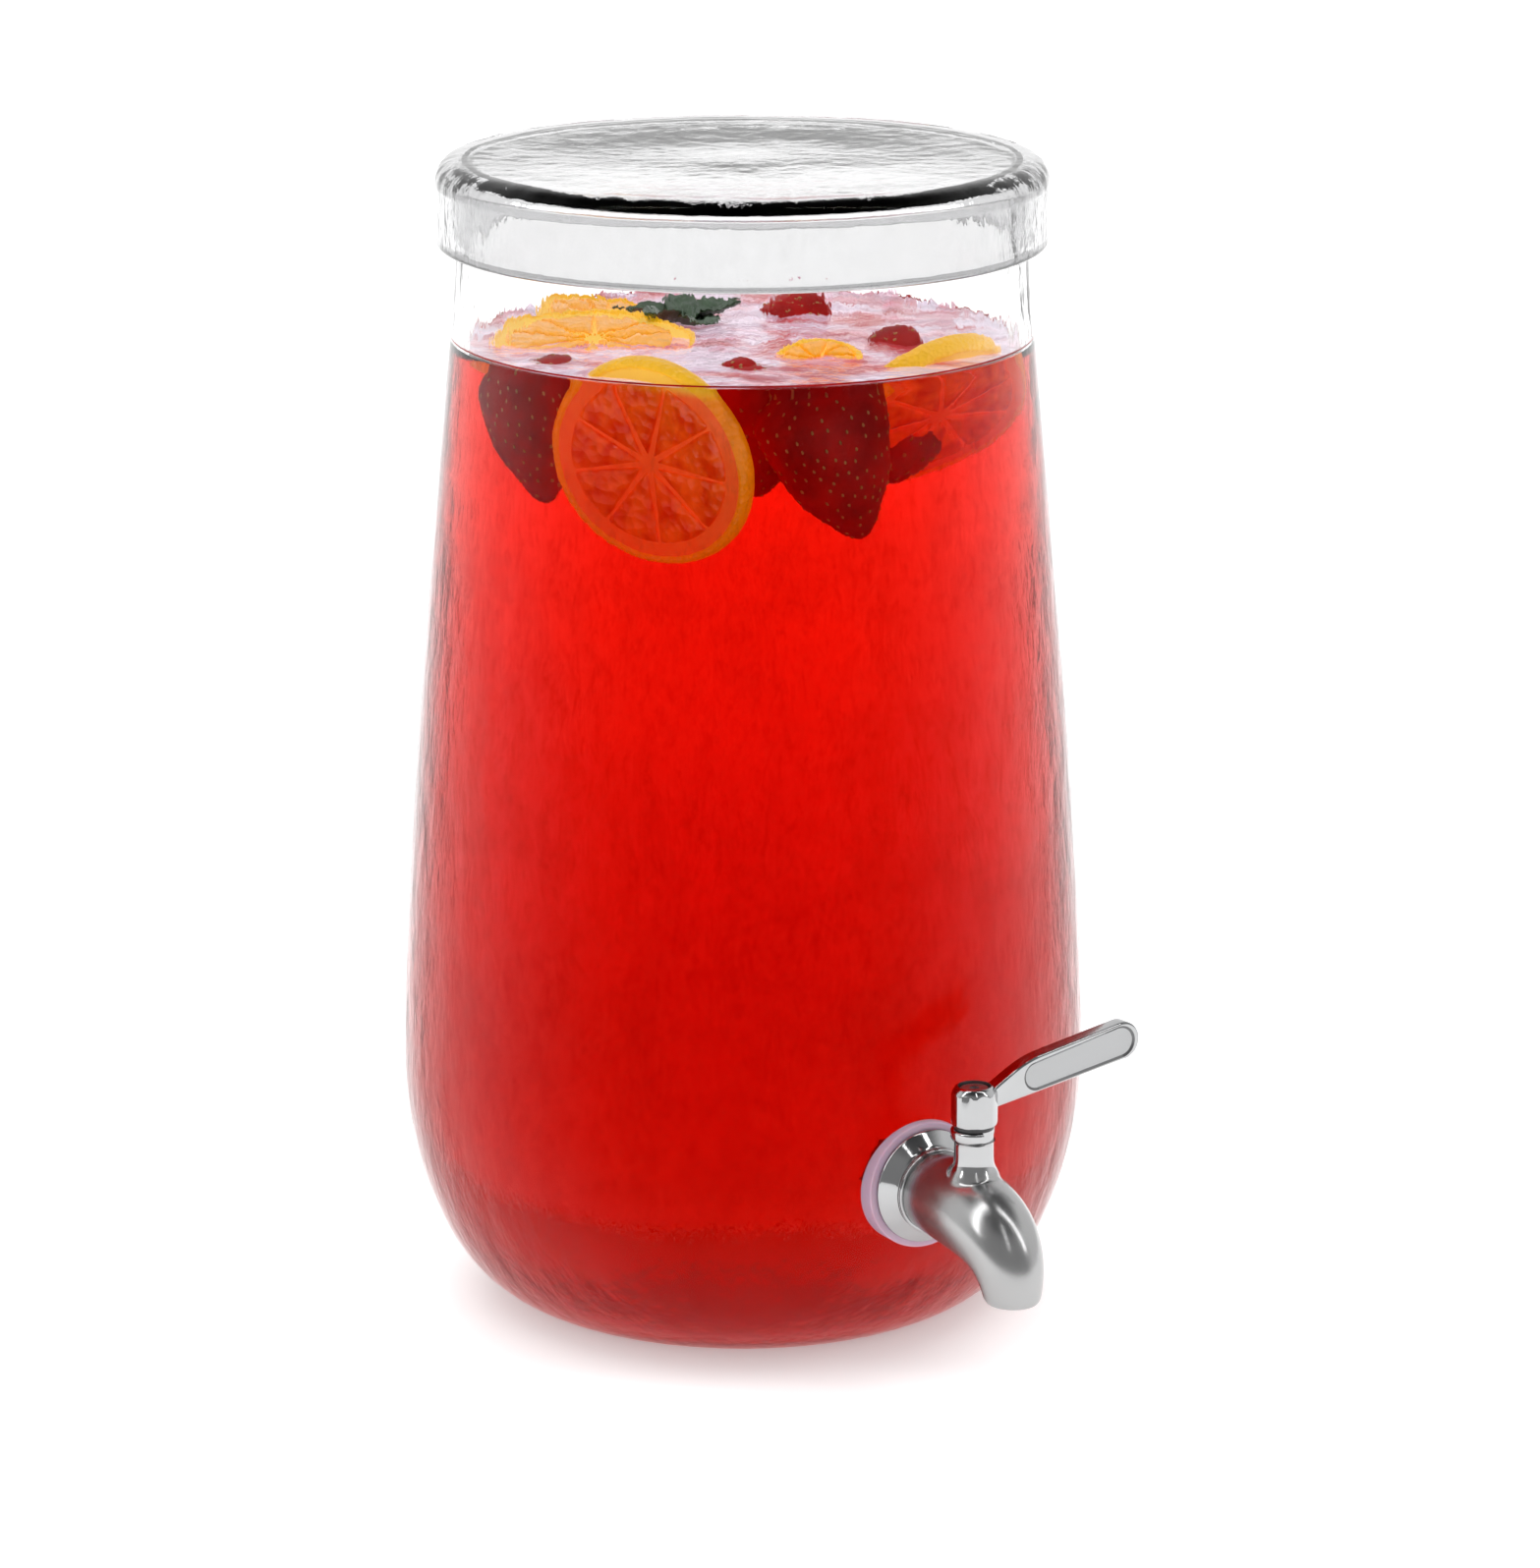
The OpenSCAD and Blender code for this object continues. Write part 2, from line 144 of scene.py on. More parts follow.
class DispenserSpigot(bpy.types.PropertyGroup):
    root_radius: FloatProperty(
        name="Spout root radius", description="Spout at the flange", default=0.0133, unit="LENGTH"
    )
    mouth_radius: FloatProperty(
        name="Spout mouth radius", description="Spout at its mouth", default=0.0089, unit="LENGTH"
    )
    hub_radius: FloatProperty(
        name="Hub radius", description="Radius of the lever's hub", default=0.0074, unit="LENGTH"
    )
    lever_thickness: FloatProperty(
        name="Lever thickness", description="Thickness of the lever", default=0.0055,
        unit="LENGTH",
    )


class DispenserStage(bpy.types.PropertyGroup):
    camera_distance: FloatProperty(
        name="Camera distance", description="Level distance from the jar's axis", default=1.8088,
        unit="LENGTH",
    )
    camera_height: FloatProperty(
        name="Camera height", description="Height above the foot", default=0.6561, unit="LENGTH"
    )
    camera_azimuth: FloatProperty(
        name="Camera azimuth", description="Turn round the jar from the spigot",
        default=math.radians(-30), unit="ROTATION",
    )
    camera_pitch: FloatProperty(
        name="Camera pitch", description="Downward tilt", default=0.261, unit="ROTATION"
    )
    camera_aside: FloatProperty(
        name="Camera aside", description="Turn to the right of the jar's axis", default=0.005,
        unit="ROTATION",
    )
    lens: FloatProperty(name="Lens", description="Focal length in millimetres", default=128.4)
    ceiling_light: FloatProperty(
        name="Ceiling light", description="Strength of the soft light from above", default=2.2
    )


def glass_settings():
    return bpy.context.scene.dispenser_glass


def drink_settings():
    return bpy.context.scene.dispenser_drink


def spigot_settings():
    return bpy.context.scene.dispenser_spigot


# ---------------------------------------------------------------- node trees


class Wire:
    """A socket that sums can be written with. Each sum adds a Math node."""

    def __init__(self, kit, socket):
        self.kit, self.socket = kit, socket

    def _sum(self, operation, *values):
        return self.kit.node(self.kit.MATH, {"operation": operation}, dict(enumerate(values)))

    def __add__(self, other):
        return self._sum("ADD", self, other)

    def __sub__(self, other):
        return self._sum("SUBTRACT", self, other)

    def __rsub__(self, other):
        return self._sum("SUBTRACT", other, self)

    def __mul__(self, other):
        return self._sum("MULTIPLY", self, other)

    def __truediv__(self, other):
        return self._sum("DIVIDE", self, other)

    def __rtruediv__(self, other):
        return self._sum("DIVIDE", other, self)

    def __pow__(self, other):
        return self._sum("POWER", self, other)

    __radd__ = __add__
    __rmul__ = __mul__

    def step(self, low, high):
        """0 below low, 1 above high, smooth between."""
        return self.kit.node(
            "ShaderNodeMapRange",
            {"interpolation_type": "SMOOTHSTEP"},
            {"Value": self, "From Min": low, "From Max": high},
        )


class NodeKit:
    """Adds nodes to one tree: a type, its settings, then its sockets' values or links."""

    MATH = "ShaderNodeMath"

    def __init__(self, tree):
        self.tree = tree

    def node(self, kind, settings=None, sockets=None, out=0):
        n = self.tree.nodes.new(kind)
        for key, value in (settings or {}).items():
            if key == "stops":
                self._stops(n.color_ramp, value)
            else:
                setattr(n, key, value)
        for key, value in (sockets or {}).items():
            if isinstance(value, Wire):
                self.tree.links.new(value.socket, n.inputs[key])
            else:
                n.inputs[key].default_value = value
        return Wire(self, n.outputs[out])

    @staticmethod
    def _stops(ramp, stops):
        while len(ramp.elements) < len(stops):
            ramp.elements.new(0.5)
        for element, (place, colour) in zip(ramp.elements, stops):
            element.position = place
            element.color = (*colour, 1)


class Finish(NodeKit):
    """A material made of nodes."""

    def __init__(self, name):
        self.material = bpy.data.materials.new(name)
        self.material.use_nodes = True
        super().__init__(self.material.node_tree)
        self.tree.nodes.clear()
        self.place = self.node("ShaderNodeTexCoord", out=3)

    def grain(self, scale, stretch=(1, 1, 1), detail=2.0, roughness=0.5, distortion=0.0):
        """Noise from 0 to 1, on the object's own coordinates."""
        where = self.node("ShaderNodeMapping", {}, {"Vector": self.place, "Scale": stretch})
        return self.node(
            "ShaderNodeTexNoise", {},
            {"Vector": where, "Scale": scale, "Detail": detail, "Roughness": roughness,
             "Distortion": distortion},
        )

    def cells(self, scale, feature="F1"):
        return self.node(
            "ShaderNodeTexVoronoi", {"feature": feature}, {"Vector": self.place, "Scale": scale}
        )

    def height(self):
        return self.node("ShaderNodeSeparateXYZ", {}, {"Vector": self.place}, out=2)

    def ramp(self, value, *stops):
        return self.node("ShaderNodeValToRGB", {"stops": stops}, {"Fac": value})

    def blend(self, factor, first, second):
        """A colour mix; first where factor is 0."""
        n = self.tree.nodes.new("ShaderNodeMix")
        n.data_type = "RGBA"
        for index, value in ((0, factor), (6, first), (7, second)):
            if isinstance(value, Wire):
                self.tree.links.new(value.socket, n.inputs[index])
            else:
                n.inputs[index].default_value = value if index == 0 else (*value, 1)
        return Wire(self, n.outputs[2])

    def bump(self, value, depth, strength=1.0):
        return self.node(
            "ShaderNodeBump", {}, {"Height": value, "Distance": depth, "Strength": strength}
        )

    def surface(self, **sockets):
        """The main shader. Keywords are socket names, with _ for a space."""
        named = {key.replace("_", " "): value for key, value in sockets.items()}
        for key in ("Base Color", "Emission Color", "Specular Tint"):
            if key in named and not isinstance(named[key], Wire):
                named[key] = (*named[key], 1)
        return self.node("ShaderNodeBsdfPrincipled", {}, named)

    def done(self, surface, volume=None):
        sockets = {"Surface": surface}
        if volume is not None:
            sockets["Volume"] = volume
        self.node_output(sockets)
        return self.material

    def node_output(self, sockets):
        n = self.tree.nodes.new("ShaderNodeOutputMaterial")
        for key, value in sockets.items():
            self.tree.links.new(value.socket, n.inputs[key])


class Maker(NodeKit):
    """A Geometry Nodes tree with named inputs."""

    def __init__(self, name):
        super().__init__(bpy.data.node_groups.new(name, "GeometryNodeTree"))
        self.identifiers = {}
        self.tree.interface.new_socket("Geometry", in_out="OUTPUT", socket_type="NodeSocketGeometry")
        self.inlet = self.tree.nodes.new("NodeGroupInput")
        self.outlet = self.tree.nodes.new("NodeGroupOutput")

    def input(self, name, kind="Float", default=None):
        item = self.tree.interface.new_socket(
            name, in_out="INPUT", socket_type=f"NodeSocket{kind}"
        )
        if default is not None:
            item.default_value = default
        self.identifiers[name] = item.identifier
        return Wire(self, self.inlet.outputs[name])

    def join(self, *parts):
        n = self.tree.nodes.new("GeometryNodeJoinGeometry")
        for part in parts:
            self.tree.links.new(part.socket, n.inputs[0])
        return Wire(self, n.outputs[0])

    def painted(self, geometry, material):
        return self.node(
            "GeometryNodeSetMaterial", {}, {"Geometry": geometry, "Material": material}
        )

    def finish(self, *parts):
        """Ends the tree in Realize Instances and Set Material, for each (geometry, material)."""
        done = [
            self.painted(self.node("GeometryNodeRealizeInstances", {}, {"Geometry": geometry}),
                         material)
            for geometry, material in parts
        ]
        last = done[0] if len(done) == 1 else self.join(*done)
        self.tree.links.new(last.socket, self.outlet.inputs[0])
        return self

    def make(self, base, name, **values):
        """Runs the tree on base's mesh and returns the result as a new plain object."""
        worker = bpy.data.objects.new(name + "_worker", base.data)
        bpy.context.scene.collection.objects.link(worker)
        modifier = worker.modifiers.new("maker", "NODES")
        modifier.node_group = self.tree
        for key, value in values.items():
            modifier[self.identifiers[key]] = value
        depsgraph = bpy.context.evaluated_depsgraph_get()
        mesh = bpy.data.meshes.new_from_object(worker.evaluated_get(depsgraph))
        bpy.data.objects.remove(worker)
        if mesh.materials and mesh.materials[0] is None:
            mesh.materials.pop(index=0)
        return object_of(name, mesh)


# ---------------------------------------------------------------- mesh helpers


def object_of(name, mesh):
    mesh.name = name
    thing = bpy.data.objects.new(name, mesh)
    bpy.context.scene.collection.objects.link(thing)
    return thing


def mesh_of(name, vertices, faces):
    mesh = bpy.data.meshes.new(name)
    mesh.from_pydata([tuple(v) for v in vertices], [], faces)
    mesh.validate()
    return mesh


def soften(thing, sharp_angle=35):
    thing.data.shade_smooth()
    thing.data.set_sharp_from_angle(angle=math.radians(sharp_angle))
    return thing


def paint(thing, *materials):
    thing.data.materials.clear()
    for material in materials:
        thing.data.materials.append(material)
    return thing


def settle(thing, body, slot, *nodes):
    """Puts a finished piece on its body and hides the imported nodes it stands for."""
    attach(thing, body)
    if nodes:
        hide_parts(*nodes)
    return thing


def lathe(name, outline, sides, place=None, loop=False):
    """Turns an outline of (radius, height) about Z. An outline that isn't a loop ends on the axis."""
    angles = np.arange(sides) * TURN / sides
    rows, vertices = [], []
    for r, z in outline:
        if r < 1e-9:
            rows.append([len(vertices)])
            vertices.append((0, 0, z))
            continue
        rows.append(list(range(len(vertices), len(vertices) + sides)))
        vertices += [(r * math.cos(a), r * math.sin(a), z) for a in angles]
    pairs = list(zip(rows, rows[1:])) + ([(rows[-1], rows[0])] if loop else [])
    faces = []
    for low, high in pairs:
        for j in range(sides):
            k = (j + 1) % sides
            if len(low) == 1:
                faces.append((low[0], high[k], high[j]))
            elif len(high) == 1:
                faces.append((low[j], low[k], high[0]))
            else:
                faces.append((low[j], low[k], high[k], high[j]))
    mesh = mesh_of(name, vertices, faces)
    if place is not None:
        mesh.transform(place)
    return object_of(name, mesh)


def cubic(p, t):
    p = [np.array(q, float) for q in p]
    return (
        (1 - t) ** 3 * p[0] + 3 * t * (1 - t) ** 2 * p[1] + 3 * t * t * (1 - t) * p[2] + t**3 * p[3]
    )


def cubic_way(p, t):
    p = [np.array(q, float) for q in p]
    way = (
        (1 - t) ** 2 * (p[1] - p[0]) + 2 * t * (1 - t) * (p[2] - p[1]) + t * t * (p[3] - p[2])
    )
    return way / np.linalg.norm(way)


def rounded(corners, radii, steps=5):
    """An outline whose corners are rounded off, each by its own radius."""
    out = []
    count = len(corners)
    for i, (corner, radius) in enumerate(zip(corners, radii)):
        here = np.array(corner, float)
        before = np.array(corners[i - 1], float) - here
        after = np.array(corners[(i + 1) % count], float) - here
        if radius <= 0:
            out.append(tuple(here))
            continue
        reach_before = min(radius, np.linalg.norm(before) / 2.01)
        reach_after = min(radius, np.linalg.norm(after) / 2.01)
        start = here + before / np.linalg.norm(before) * reach_before
        end = here + after / np.linalg.norm(after) * reach_after
        for k in range(steps + 1):
            t = k / steps
            out.append(tuple((1 - t) ** 2 * start + 2 * t * (1 - t) * here + t * t * end))
    return out


def drill(thing, tool, operation="DIFFERENCE"):
    """Cuts the tool out of a mesh, or joins it on, and removes the tool."""
    modifier = thing.modifiers.new("cut", "BOOLEAN")
    modifier.operation, modifier.object, modifier.solver = operation, tool, "MANIFOLD"
    depsgraph = bpy.context.evaluated_depsgraph_get()
    mesh = bpy.data.meshes.new_from_object(thing.evaluated_get(depsgraph))
    old = thing.data
    thing.modifiers.clear()
    thing.data = mesh
    bpy.data.meshes.remove(old)
    bpy.data.objects.remove(tool)
    return thing


def baked(thing):
    """Applies the live modifiers."""
    depsgraph = bpy.context.evaluated_depsgraph_get()
    mesh = bpy.data.meshes.new_from_object(thing.evaluated_get(depsgraph))
    thing.modifiers.clear()
    thing.data = mesh
    return thing


def coordinates(thing):
    flat = np.zeros(len(thing.data.vertices) * 3)
    thing.data.vertices.foreach_get("co", flat)
    return flat.reshape(-1, 3)


def place_coordinates(thing, co):
    thing.data.vertices.foreach_set("co", co.ravel())
    thing.data.update()


# ---------------------------------------------------------------- the jar's outline


def foot_curve():
    g = glass_settings()
    return [
        (g.foot_radius, 0), (g.foot_radius + 0.026, 0),
        (g.belly_radius, g.belly_height - 0.043), (g.belly_radius, g.belly_height),
    ]


def side_curve():
    g = glass_settings()
    return [
        (g.belly_radius, g.belly_height), (g.belly_radius, g.belly_height + 0.059),
        (g.neck_radius + 0.0062, g.neck_height - 0.066), (g.neck_radius, g.neck_height),
    ]


def moved_in(curve, t, depth):
    way = cubic_way(curve, t)
    return cubic(curve, t) + depth * np.array([-way[1], way[0]])


def outer_outline(foot_rows, side_rows):
    foot = [tuple(cubic(foot_curve(), i / foot_rows)) for i in range(foot_rows + 1)]
    side = [tuple(cubic(side_curve(), i / side_rows)) for i in range(1, side_rows + 1)]
    return foot + side


def inner_outline(foot_rows, side_rows, spare=0.0):
    """The glass's inside from the base up; spare moves it into the glass."""
    g = glass_settings()
    foot = [
        tuple(moved_in(foot_curve(), i / foot_rows,
                       g.base + (g.wall - g.base) * i / foot_rows - spare))
        for i in range(foot_rows + 1)
    ]
    side = [
        tuple(moved_in(side_curve(), i / side_rows, g.wall - spare))
        for i in range(1, side_rows + 1)
    ]
    return foot + side


def inner_radius(height):
    rows = inner_outline(30, 60) + [(glass_settings().rim_radius - glass_settings().wall,
                                     JAR_HIGH.z)]
    return float(np.interp(height, [z for _, z in rows], [r for r, _ in rows]))


# ---------------------------------------------------------------- finishes


def hammered_glass(name, tint, grain_depth, ior):
    """Clear glass with a fine orange-peel skin over its modelled ripples."""
    m = Finish(name)
    peel = m.grain(620, (1, 1, 0.45), detail=1.5, distortion=0.3)
    swirl = m.grain(170, (1, 1, 0.4), detail=2.0, distortion=0.6)
    calm = m.height().step(0.235, 0.285)
    skin = m.bump((peel + swirl * 2.0) * (3.4 - calm * 2.4), grain_depth)
    haze = m.blend(m.grain(240, (1, 1, 0.6), detail=3), tuple(0.93 * c for c in tint), tint)
    return m.done(m.surface(
        Base_Color=haze, Roughness=0.0, IOR=ior, Transmission_Weight=1.0, Normal=skin,
        Specular_Tint=(0.03, 0.03, 0.03),
    ))


def drink_finish():
    d = drink_settings()
    m = Finish("red_drink")
    absorb = m.node(
        "ShaderNodeVolumeAbsorption", {}, {"Color": (*d.colour, 1), "Density": d.strength}
    )
    cloud = m.grain(60, (1, 1, 0.5), detail=4, roughness=0.6)
    # Painted shade: the drink's tint darkens towards the bottom, standing in for the shade seen through
    # its lower part
    painted_shade_by_height = m.ramp(
        m.height() * 3.0, (0.05, (0.40, 0.40, 0.40)), (0.24, (0.44, 0.44, 0.44)),
        (0.60, (0.67, 0.67, 0.67)), (0.90, (0.92, 0.92, 0.92)),
    )
    speckle = m.grain(420, (1, 1, 0.4), detail=3, roughness=0.7)
    tint = m.blend(cloud.step(0.42, 0.62) * 0.18 + speckle.step(0.48, 0.66) * 0.17, painted_shade_by_height,
                   (0.22, 0.22, 0.22))
    # Painted light: a faint red glow near the bottom brightens the drink where the floor beneath the
    # jar is in shade
    painted_bottom_glow = m.ramp(m.height() * 3.0, (0.0, (0.06, 0, 0)), (0.10, (0.12, 0, 0)), (0.2, (0, 0, 0)))
    return m.done(
        m.surface(Base_Color=tint, Roughness=0.0, IOR=1.34, Transmission_Weight=1.0,
                  Specular_Tint=(0.0, 0.0, 0.0), Emission_Color=painted_bottom_glow, Emission_Strength=1.0),
        absorb
    )


def drink_skin_finish():
    """The rippled top of the drink, with pale patches painted in as the light on its surface and a
    painted glow.
    """
    m = Finish("drink_surface")
    # Painted light: the pale patches stand in for light on the rippled surface
    painted_light_patches = m.grain(42, (1, 1, 1), detail=3, distortion=0.8)
    colour = m.ramp(
        painted_light_patches, (0.36, (0.62, 0.09, 0.11)), (0.47, (0.72, 0.38, 0.46)), (0.58, (0.82, 0.70, 0.82))
    )
    waves = m.bump(m.grain(140, detail=2), 0.0012)
    return m.done(m.surface(
        # Painted light: the surface glows in its own colours
        Base_Color=colour, Roughness=0.04, IOR=1.34, Transmission_Weight=0.75, Normal=waves,
        Emission_Color=colour, Emission_Strength=0.22,
    ))


def silicone_finish():
    m = Finish("pink_silicone")
    cloud = m.grain(90, detail=2)
    colour = m.blend(cloud, (0.42, 0.27, 0.37), (0.56, 0.40, 0.50))
    return m.done(m.surface(
        Base_Color=colour, Roughness=0.38, Subsurface_Weight=0.35, Subsurface_Scale=0.003,
        Normal=m.bump(m.grain(900), 0.0001),
    ))


def black_rubber_finish():
    m = Finish("o_ring_rubber")
    colour = m.blend(m.grain(400), (0.012, 0.012, 0.013), (0.03, 0.03, 0.032))
    return m.done(m.surface(
        Base_Color=colour, Roughness=0.3 + m.grain(900) * 0.2, Normal=m.bump(m.grain(1500), 0.00004),
    ))


def seat_finish():
    m = Finish("ball_seat_plastic")
    colour = m.blend(m.grain(200), (0.86, 0.86, 0.83), (0.93, 0.93, 0.91))
    return m.done(m.surface(
        Base_Color=colour, Roughness=0.42 + m.grain(700) * 0.1, Normal=m.bump(m.grain(1200), 0.00003)
    ))


def polished_finish():
    m = Finish("mirror_polish")
    smear = m.grain(60, (1, 1, 1), detail=3)
    rub = m.grain(1800, (1, 1, 0.08), detail=1)
    return m.done(m.surface(
        Base_Color=m.blend(smear, (0.36, 0.363, 0.367), (0.46, 0.463, 0.467)),
        Metallic=1.0, Roughness=0.045 + smear * 0.06, Normal=m.bump(rub, 0.000012),
    ))


def satin_finish():
    m = Finish("brushed_satin")
    smear = m.grain(45, detail=3)
    brush = m.grain(2600, (1, 0.05, 0.35), detail=2)
    return m.done(m.surface(
        Base_Color=m.blend(smear, (0.44, 0.44, 0.44), (0.56, 0.56, 0.56)),
        Metallic=1.0, Roughness=0.25 + brush * 0.10, Normal=m.bump(brush, 0.00002),
    ))


def matte_panel_finish():
    m = Finish("blasted_steel")
    blast = m.grain(5200, detail=2)
    return m.done(m.surface(
        Base_Color=m.blend(blast, (0.36, 0.365, 0.37), (0.52, 0.525, 0.53)),
        Metallic=0.9, Roughness=0.42 + blast * 0.15, Normal=m.bump(blast, 0.00006),
    ))


# Painted shade: a dark steel for the walls of recesses and panels, where shade falls
def painted_groove_shade_finish():
    m = Finish("dark_groove")
    shade_grain = m.grain(900, detail=2)
    return m.done(m.surface(
        Base_Color=m.blend(shade_grain, (0.10, 0.10, 0.102), (0.18, 0.18, 0.183)),
        Metallic=0.9, Roughness=0.3 + shade_grain * 0.1,
    ))


def turned_finish():
    m = Finish("lathe_turned")
    rings = m.grain(3000, (0.05, 1, 0.05), detail=1)
    return m.done(m.surface(
        Base_Color=m.blend(m.grain(80), (0.40, 0.40, 0.41), (0.54, 0.54, 0.55)),
        Metallic=1.0, Roughness=0.22 + rings * 0.15, Normal=m.bump(rings, 0.00002),
    ))


def peel_finish():
    """Lemon peel with oil pores, deeper orange below the drink's level, and a painted glow that
    brightens it.
    """
    m = Finish("citrus_peel")
    wet = m.height().step(drink_settings().level - 0.004, drink_settings().level + 0.001)
    pores = m.cells(620)
    colour = m.blend(wet, (1.0, 0.24, 0.0), (1.0, 0.56, 0.01))
    # Painted light: the peel glows in its own colour
    return m.done(m.surface(
        Base_Color=m.blend(m.grain(120, detail=3) * 0.5, colour, (1.0, 0.34, 0.0)),
        Roughness=0.32, Normal=m.bump(pores, 0.0005), Emission_Color=colour,
        Emission_Strength=0.34,
    ))


def pith_finish():
    m = Finish("citrus_pith")
    fibre = m.grain(260, detail=3)
    wet = m.height().step(drink_settings().level - 0.003, drink_settings().level + 0.001)
    soaked = m.blend(fibre, (0.95, 0.085, 0.008), (1.0, 0.15, 0.02))
    rind = m.blend(wet, soaked, (1.0, 0.58, 0.06))
    # Painted light: the pith glows in its own colour to brighten it
    return m.done(m.surface(
        Base_Color=rind,
        Roughness=0.45, Normal=m.bump(fibre, 0.0003), Emission_Color=rind,
        Emission_Strength=0.36,
    ))


def pulp_finish():
    m = Finish("citrus_pulp")
    sacs = m.cells(300)
    wet = m.height().step(drink_settings().level - 0.003, drink_settings().level + 0.001)
    streaks = m.grain(150, detail=4, distortion=0.4)
    soaked = m.ramp(streaks, (0.34, (0.78, 0.035, 0.0)), (0.64, (1.0, 0.12, 0.006)))
    flesh = m.blend(wet, soaked, (1.0, 0.40, 0.0))
    # Painted light: the pulp glows in its own colour to brighten it
    return m.done(m.surface(
        Base_Color=flesh,
        Roughness=0.18, Normal=m.bump(sacs, 0.0007), Emission_Color=flesh,
        Emission_Strength=0.32,
    ))


def berry_finish():
    m = Finish("strawberry_flesh")
    blotch = m.grain(70, detail=3)
    # Painted light: the flesh glows a little red to brighten it
    return m.done(m.surface(
        Base_Color=m.ramp(blotch, (0.3, (0.24, 0.002, 0.002)), (0.7, (0.55, 0.008, 0.005))),
        Roughness=0.50, Specular_IOR_Level=0.15, Normal=m.bump(m.grain(300), 0.0004),
        Emission_Color=(0.50, 0.0, 0.0), Emission_Strength=0.12,
    ))


def seed_finish():
    m = Finish("strawberry_seed")
    return m.done(m.surface(
        Base_Color=m.blend(m.grain(500), (0.50, 0.20, 0.05), (0.66, 0.34, 0.12)), Roughness=0.45,
    ))


def leaf_finish():
    m = Finish("mint_leaf")
    veins = m.grain(220, (1, 1, 1), detail=3)
    return m.done(m.surface(
        Base_Color=m.blend(veins, (0.02, 0.05, 0.02), (0.06, 0.14, 0.05)), Roughness=0.4,
        Normal=m.bump(veins, 0.0006),
    ))


def floor_finish():
    m = Finish("pale_floor")
    colour = m.blend(m.grain(3, detail=2), (0.93, 0.93, 0.93), (0.95, 0.95, 0.95))
    return m.done(m.surface(Base_Color=colour, Roughness=0.6, Emission_Color=(1, 1, 1),
                            Emission_Strength=0.36))


def finish(make, name):
    """A finish is made once and then shared. No name is one that the frame's slots use."""
    return bpy.data.materials.get(name) or make()


# ---------------------------------------------------------------- the stage


class DISPENSER_OT_stage(bpy.types.Operator):
    """Camera, lights and a pale floor"""

    bl_idname = "dispenser.stage"
    bl_label = "Stage"

    def execute(self, context):
        s = context.scene.dispenser_stage
        scene = context.scene
        scene.view_settings.view_transform = "Standard"
        camera = bpy.data.objects.new("camera", bpy.data.cameras.new("camera"))
        camera.data.lens = s.lens
        camera.data.clip_end = 50
        out = Vector((math.sin(s.camera_azimuth), -math.cos(s.camera_azimuth), 0))
        camera.location = out * s.camera_distance + Vector((0, 0, s.camera_height))
        camera.rotation_euler = (
            math.pi / 2 - s.camera_pitch, 0, s.camera_azimuth - s.camera_aside
        )
        scene.collection.objects.link(camera)
        scene.camera = camera
        floor_mesh = mesh_of(
            "floor", [(-15, -15, 0), (15, -15, 0), (15, 15, 0), (-15, 15, 0)], [(0, 1, 2, 3)]
        )
        floor = paint(object_of("floor", floor_mesh), floor_finish())
        floor.location.z = -0.0002
        self.sky(scene, s.camera_azimuth)
        sun = bpy.data.lights.new("ceiling", "SUN")
        sun.energy, sun.angle = s.ceiling_light, math.radians(80)
        ceiling = bpy.data.objects.new("ceiling", sun)
        ceiling.rotation_euler = (math.radians(-12), 0, s.camera_azimuth)
        ceiling.visible_glossy = False
        scene.collection.objects.link(ceiling)
        # Soft boxes: name, width, height, turn from the camera, distance, height above, power
        for name, wide, tall, turn, away, height, power in (
            ("left_box", 0.20, 1.9, -62, 1.05, 1.35, 7.0),
            ("right_box", 0.12, 1.9, 66, 1.05, 1.35, 4.5),
            ("front_box", 0.08, 1.2, 14, 1.5, 1.60, 1.3),
            ("front_fill", 1.6, 1.0, 8, 2.0, 0.9, 3),
        ):
            light = bpy.data.lights.new(name, "AREA")
            light.shape, light.size, light.size_y, light.energy = "RECTANGLE", wide, tall, power
            lamp = bpy.data.objects.new(name, light)
            direction = s.camera_azimuth + math.radians(turn)
            lamp.location = (math.sin(direction) * away, -math.cos(direction) * away, height)
            aim = Vector((0, 0, 0.15)) - lamp.location
            lamp.rotation_euler = aim.to_track_quat("-Z", "Y").to_euler()
            if name == "front_fill":
                lamp.visible_glossy = lamp.visible_transmission = False
            scene.collection.objects.link(lamp)
        return {"FINISHED"}

    @staticmethod
    def sky(scene, azimuth):
        """A white backdrop behind and beside the dispenser, a dark room in front and above."""
        world = bpy.data.worlds.new("studio")
        world.use_nodes = True
        scene.world = world
        kit = NodeKit(world.node_tree)
        kit.tree.nodes.clear()
        way = kit.node("ShaderNodeTexCoord")
        up = kit.node("ShaderNodeSeparateXYZ", {}, {"Vector": way}, out=2)
        behind = kit.node(
            "ShaderNodeVectorMath", {"operation": "DOT_PRODUCT"},
            {0: way, 1: (-math.sin(azimuth), math.cos(azimuth), 0)}, out=1,
        )
        white = (behind.step(-0.60, 0.10) * 0.7 + 0.3) * (1 - up.step(0.58, 0.88))
        shade = kit.node(
            "ShaderNodeValToRGB", {"stops": ((0, DARK_ROOM), (1, WHITE_ROOM))}, {"Fac": white}
        )
        light = kit.node("ShaderNodeBackground", {}, {"Color": shade, "Strength": 1.1})
        output = kit.tree.nodes.new("ShaderNodeOutputWorld")
        kit.tree.links.new(light.socket, output.inputs["Surface"])


# ---------------------------------------------------------------- glass


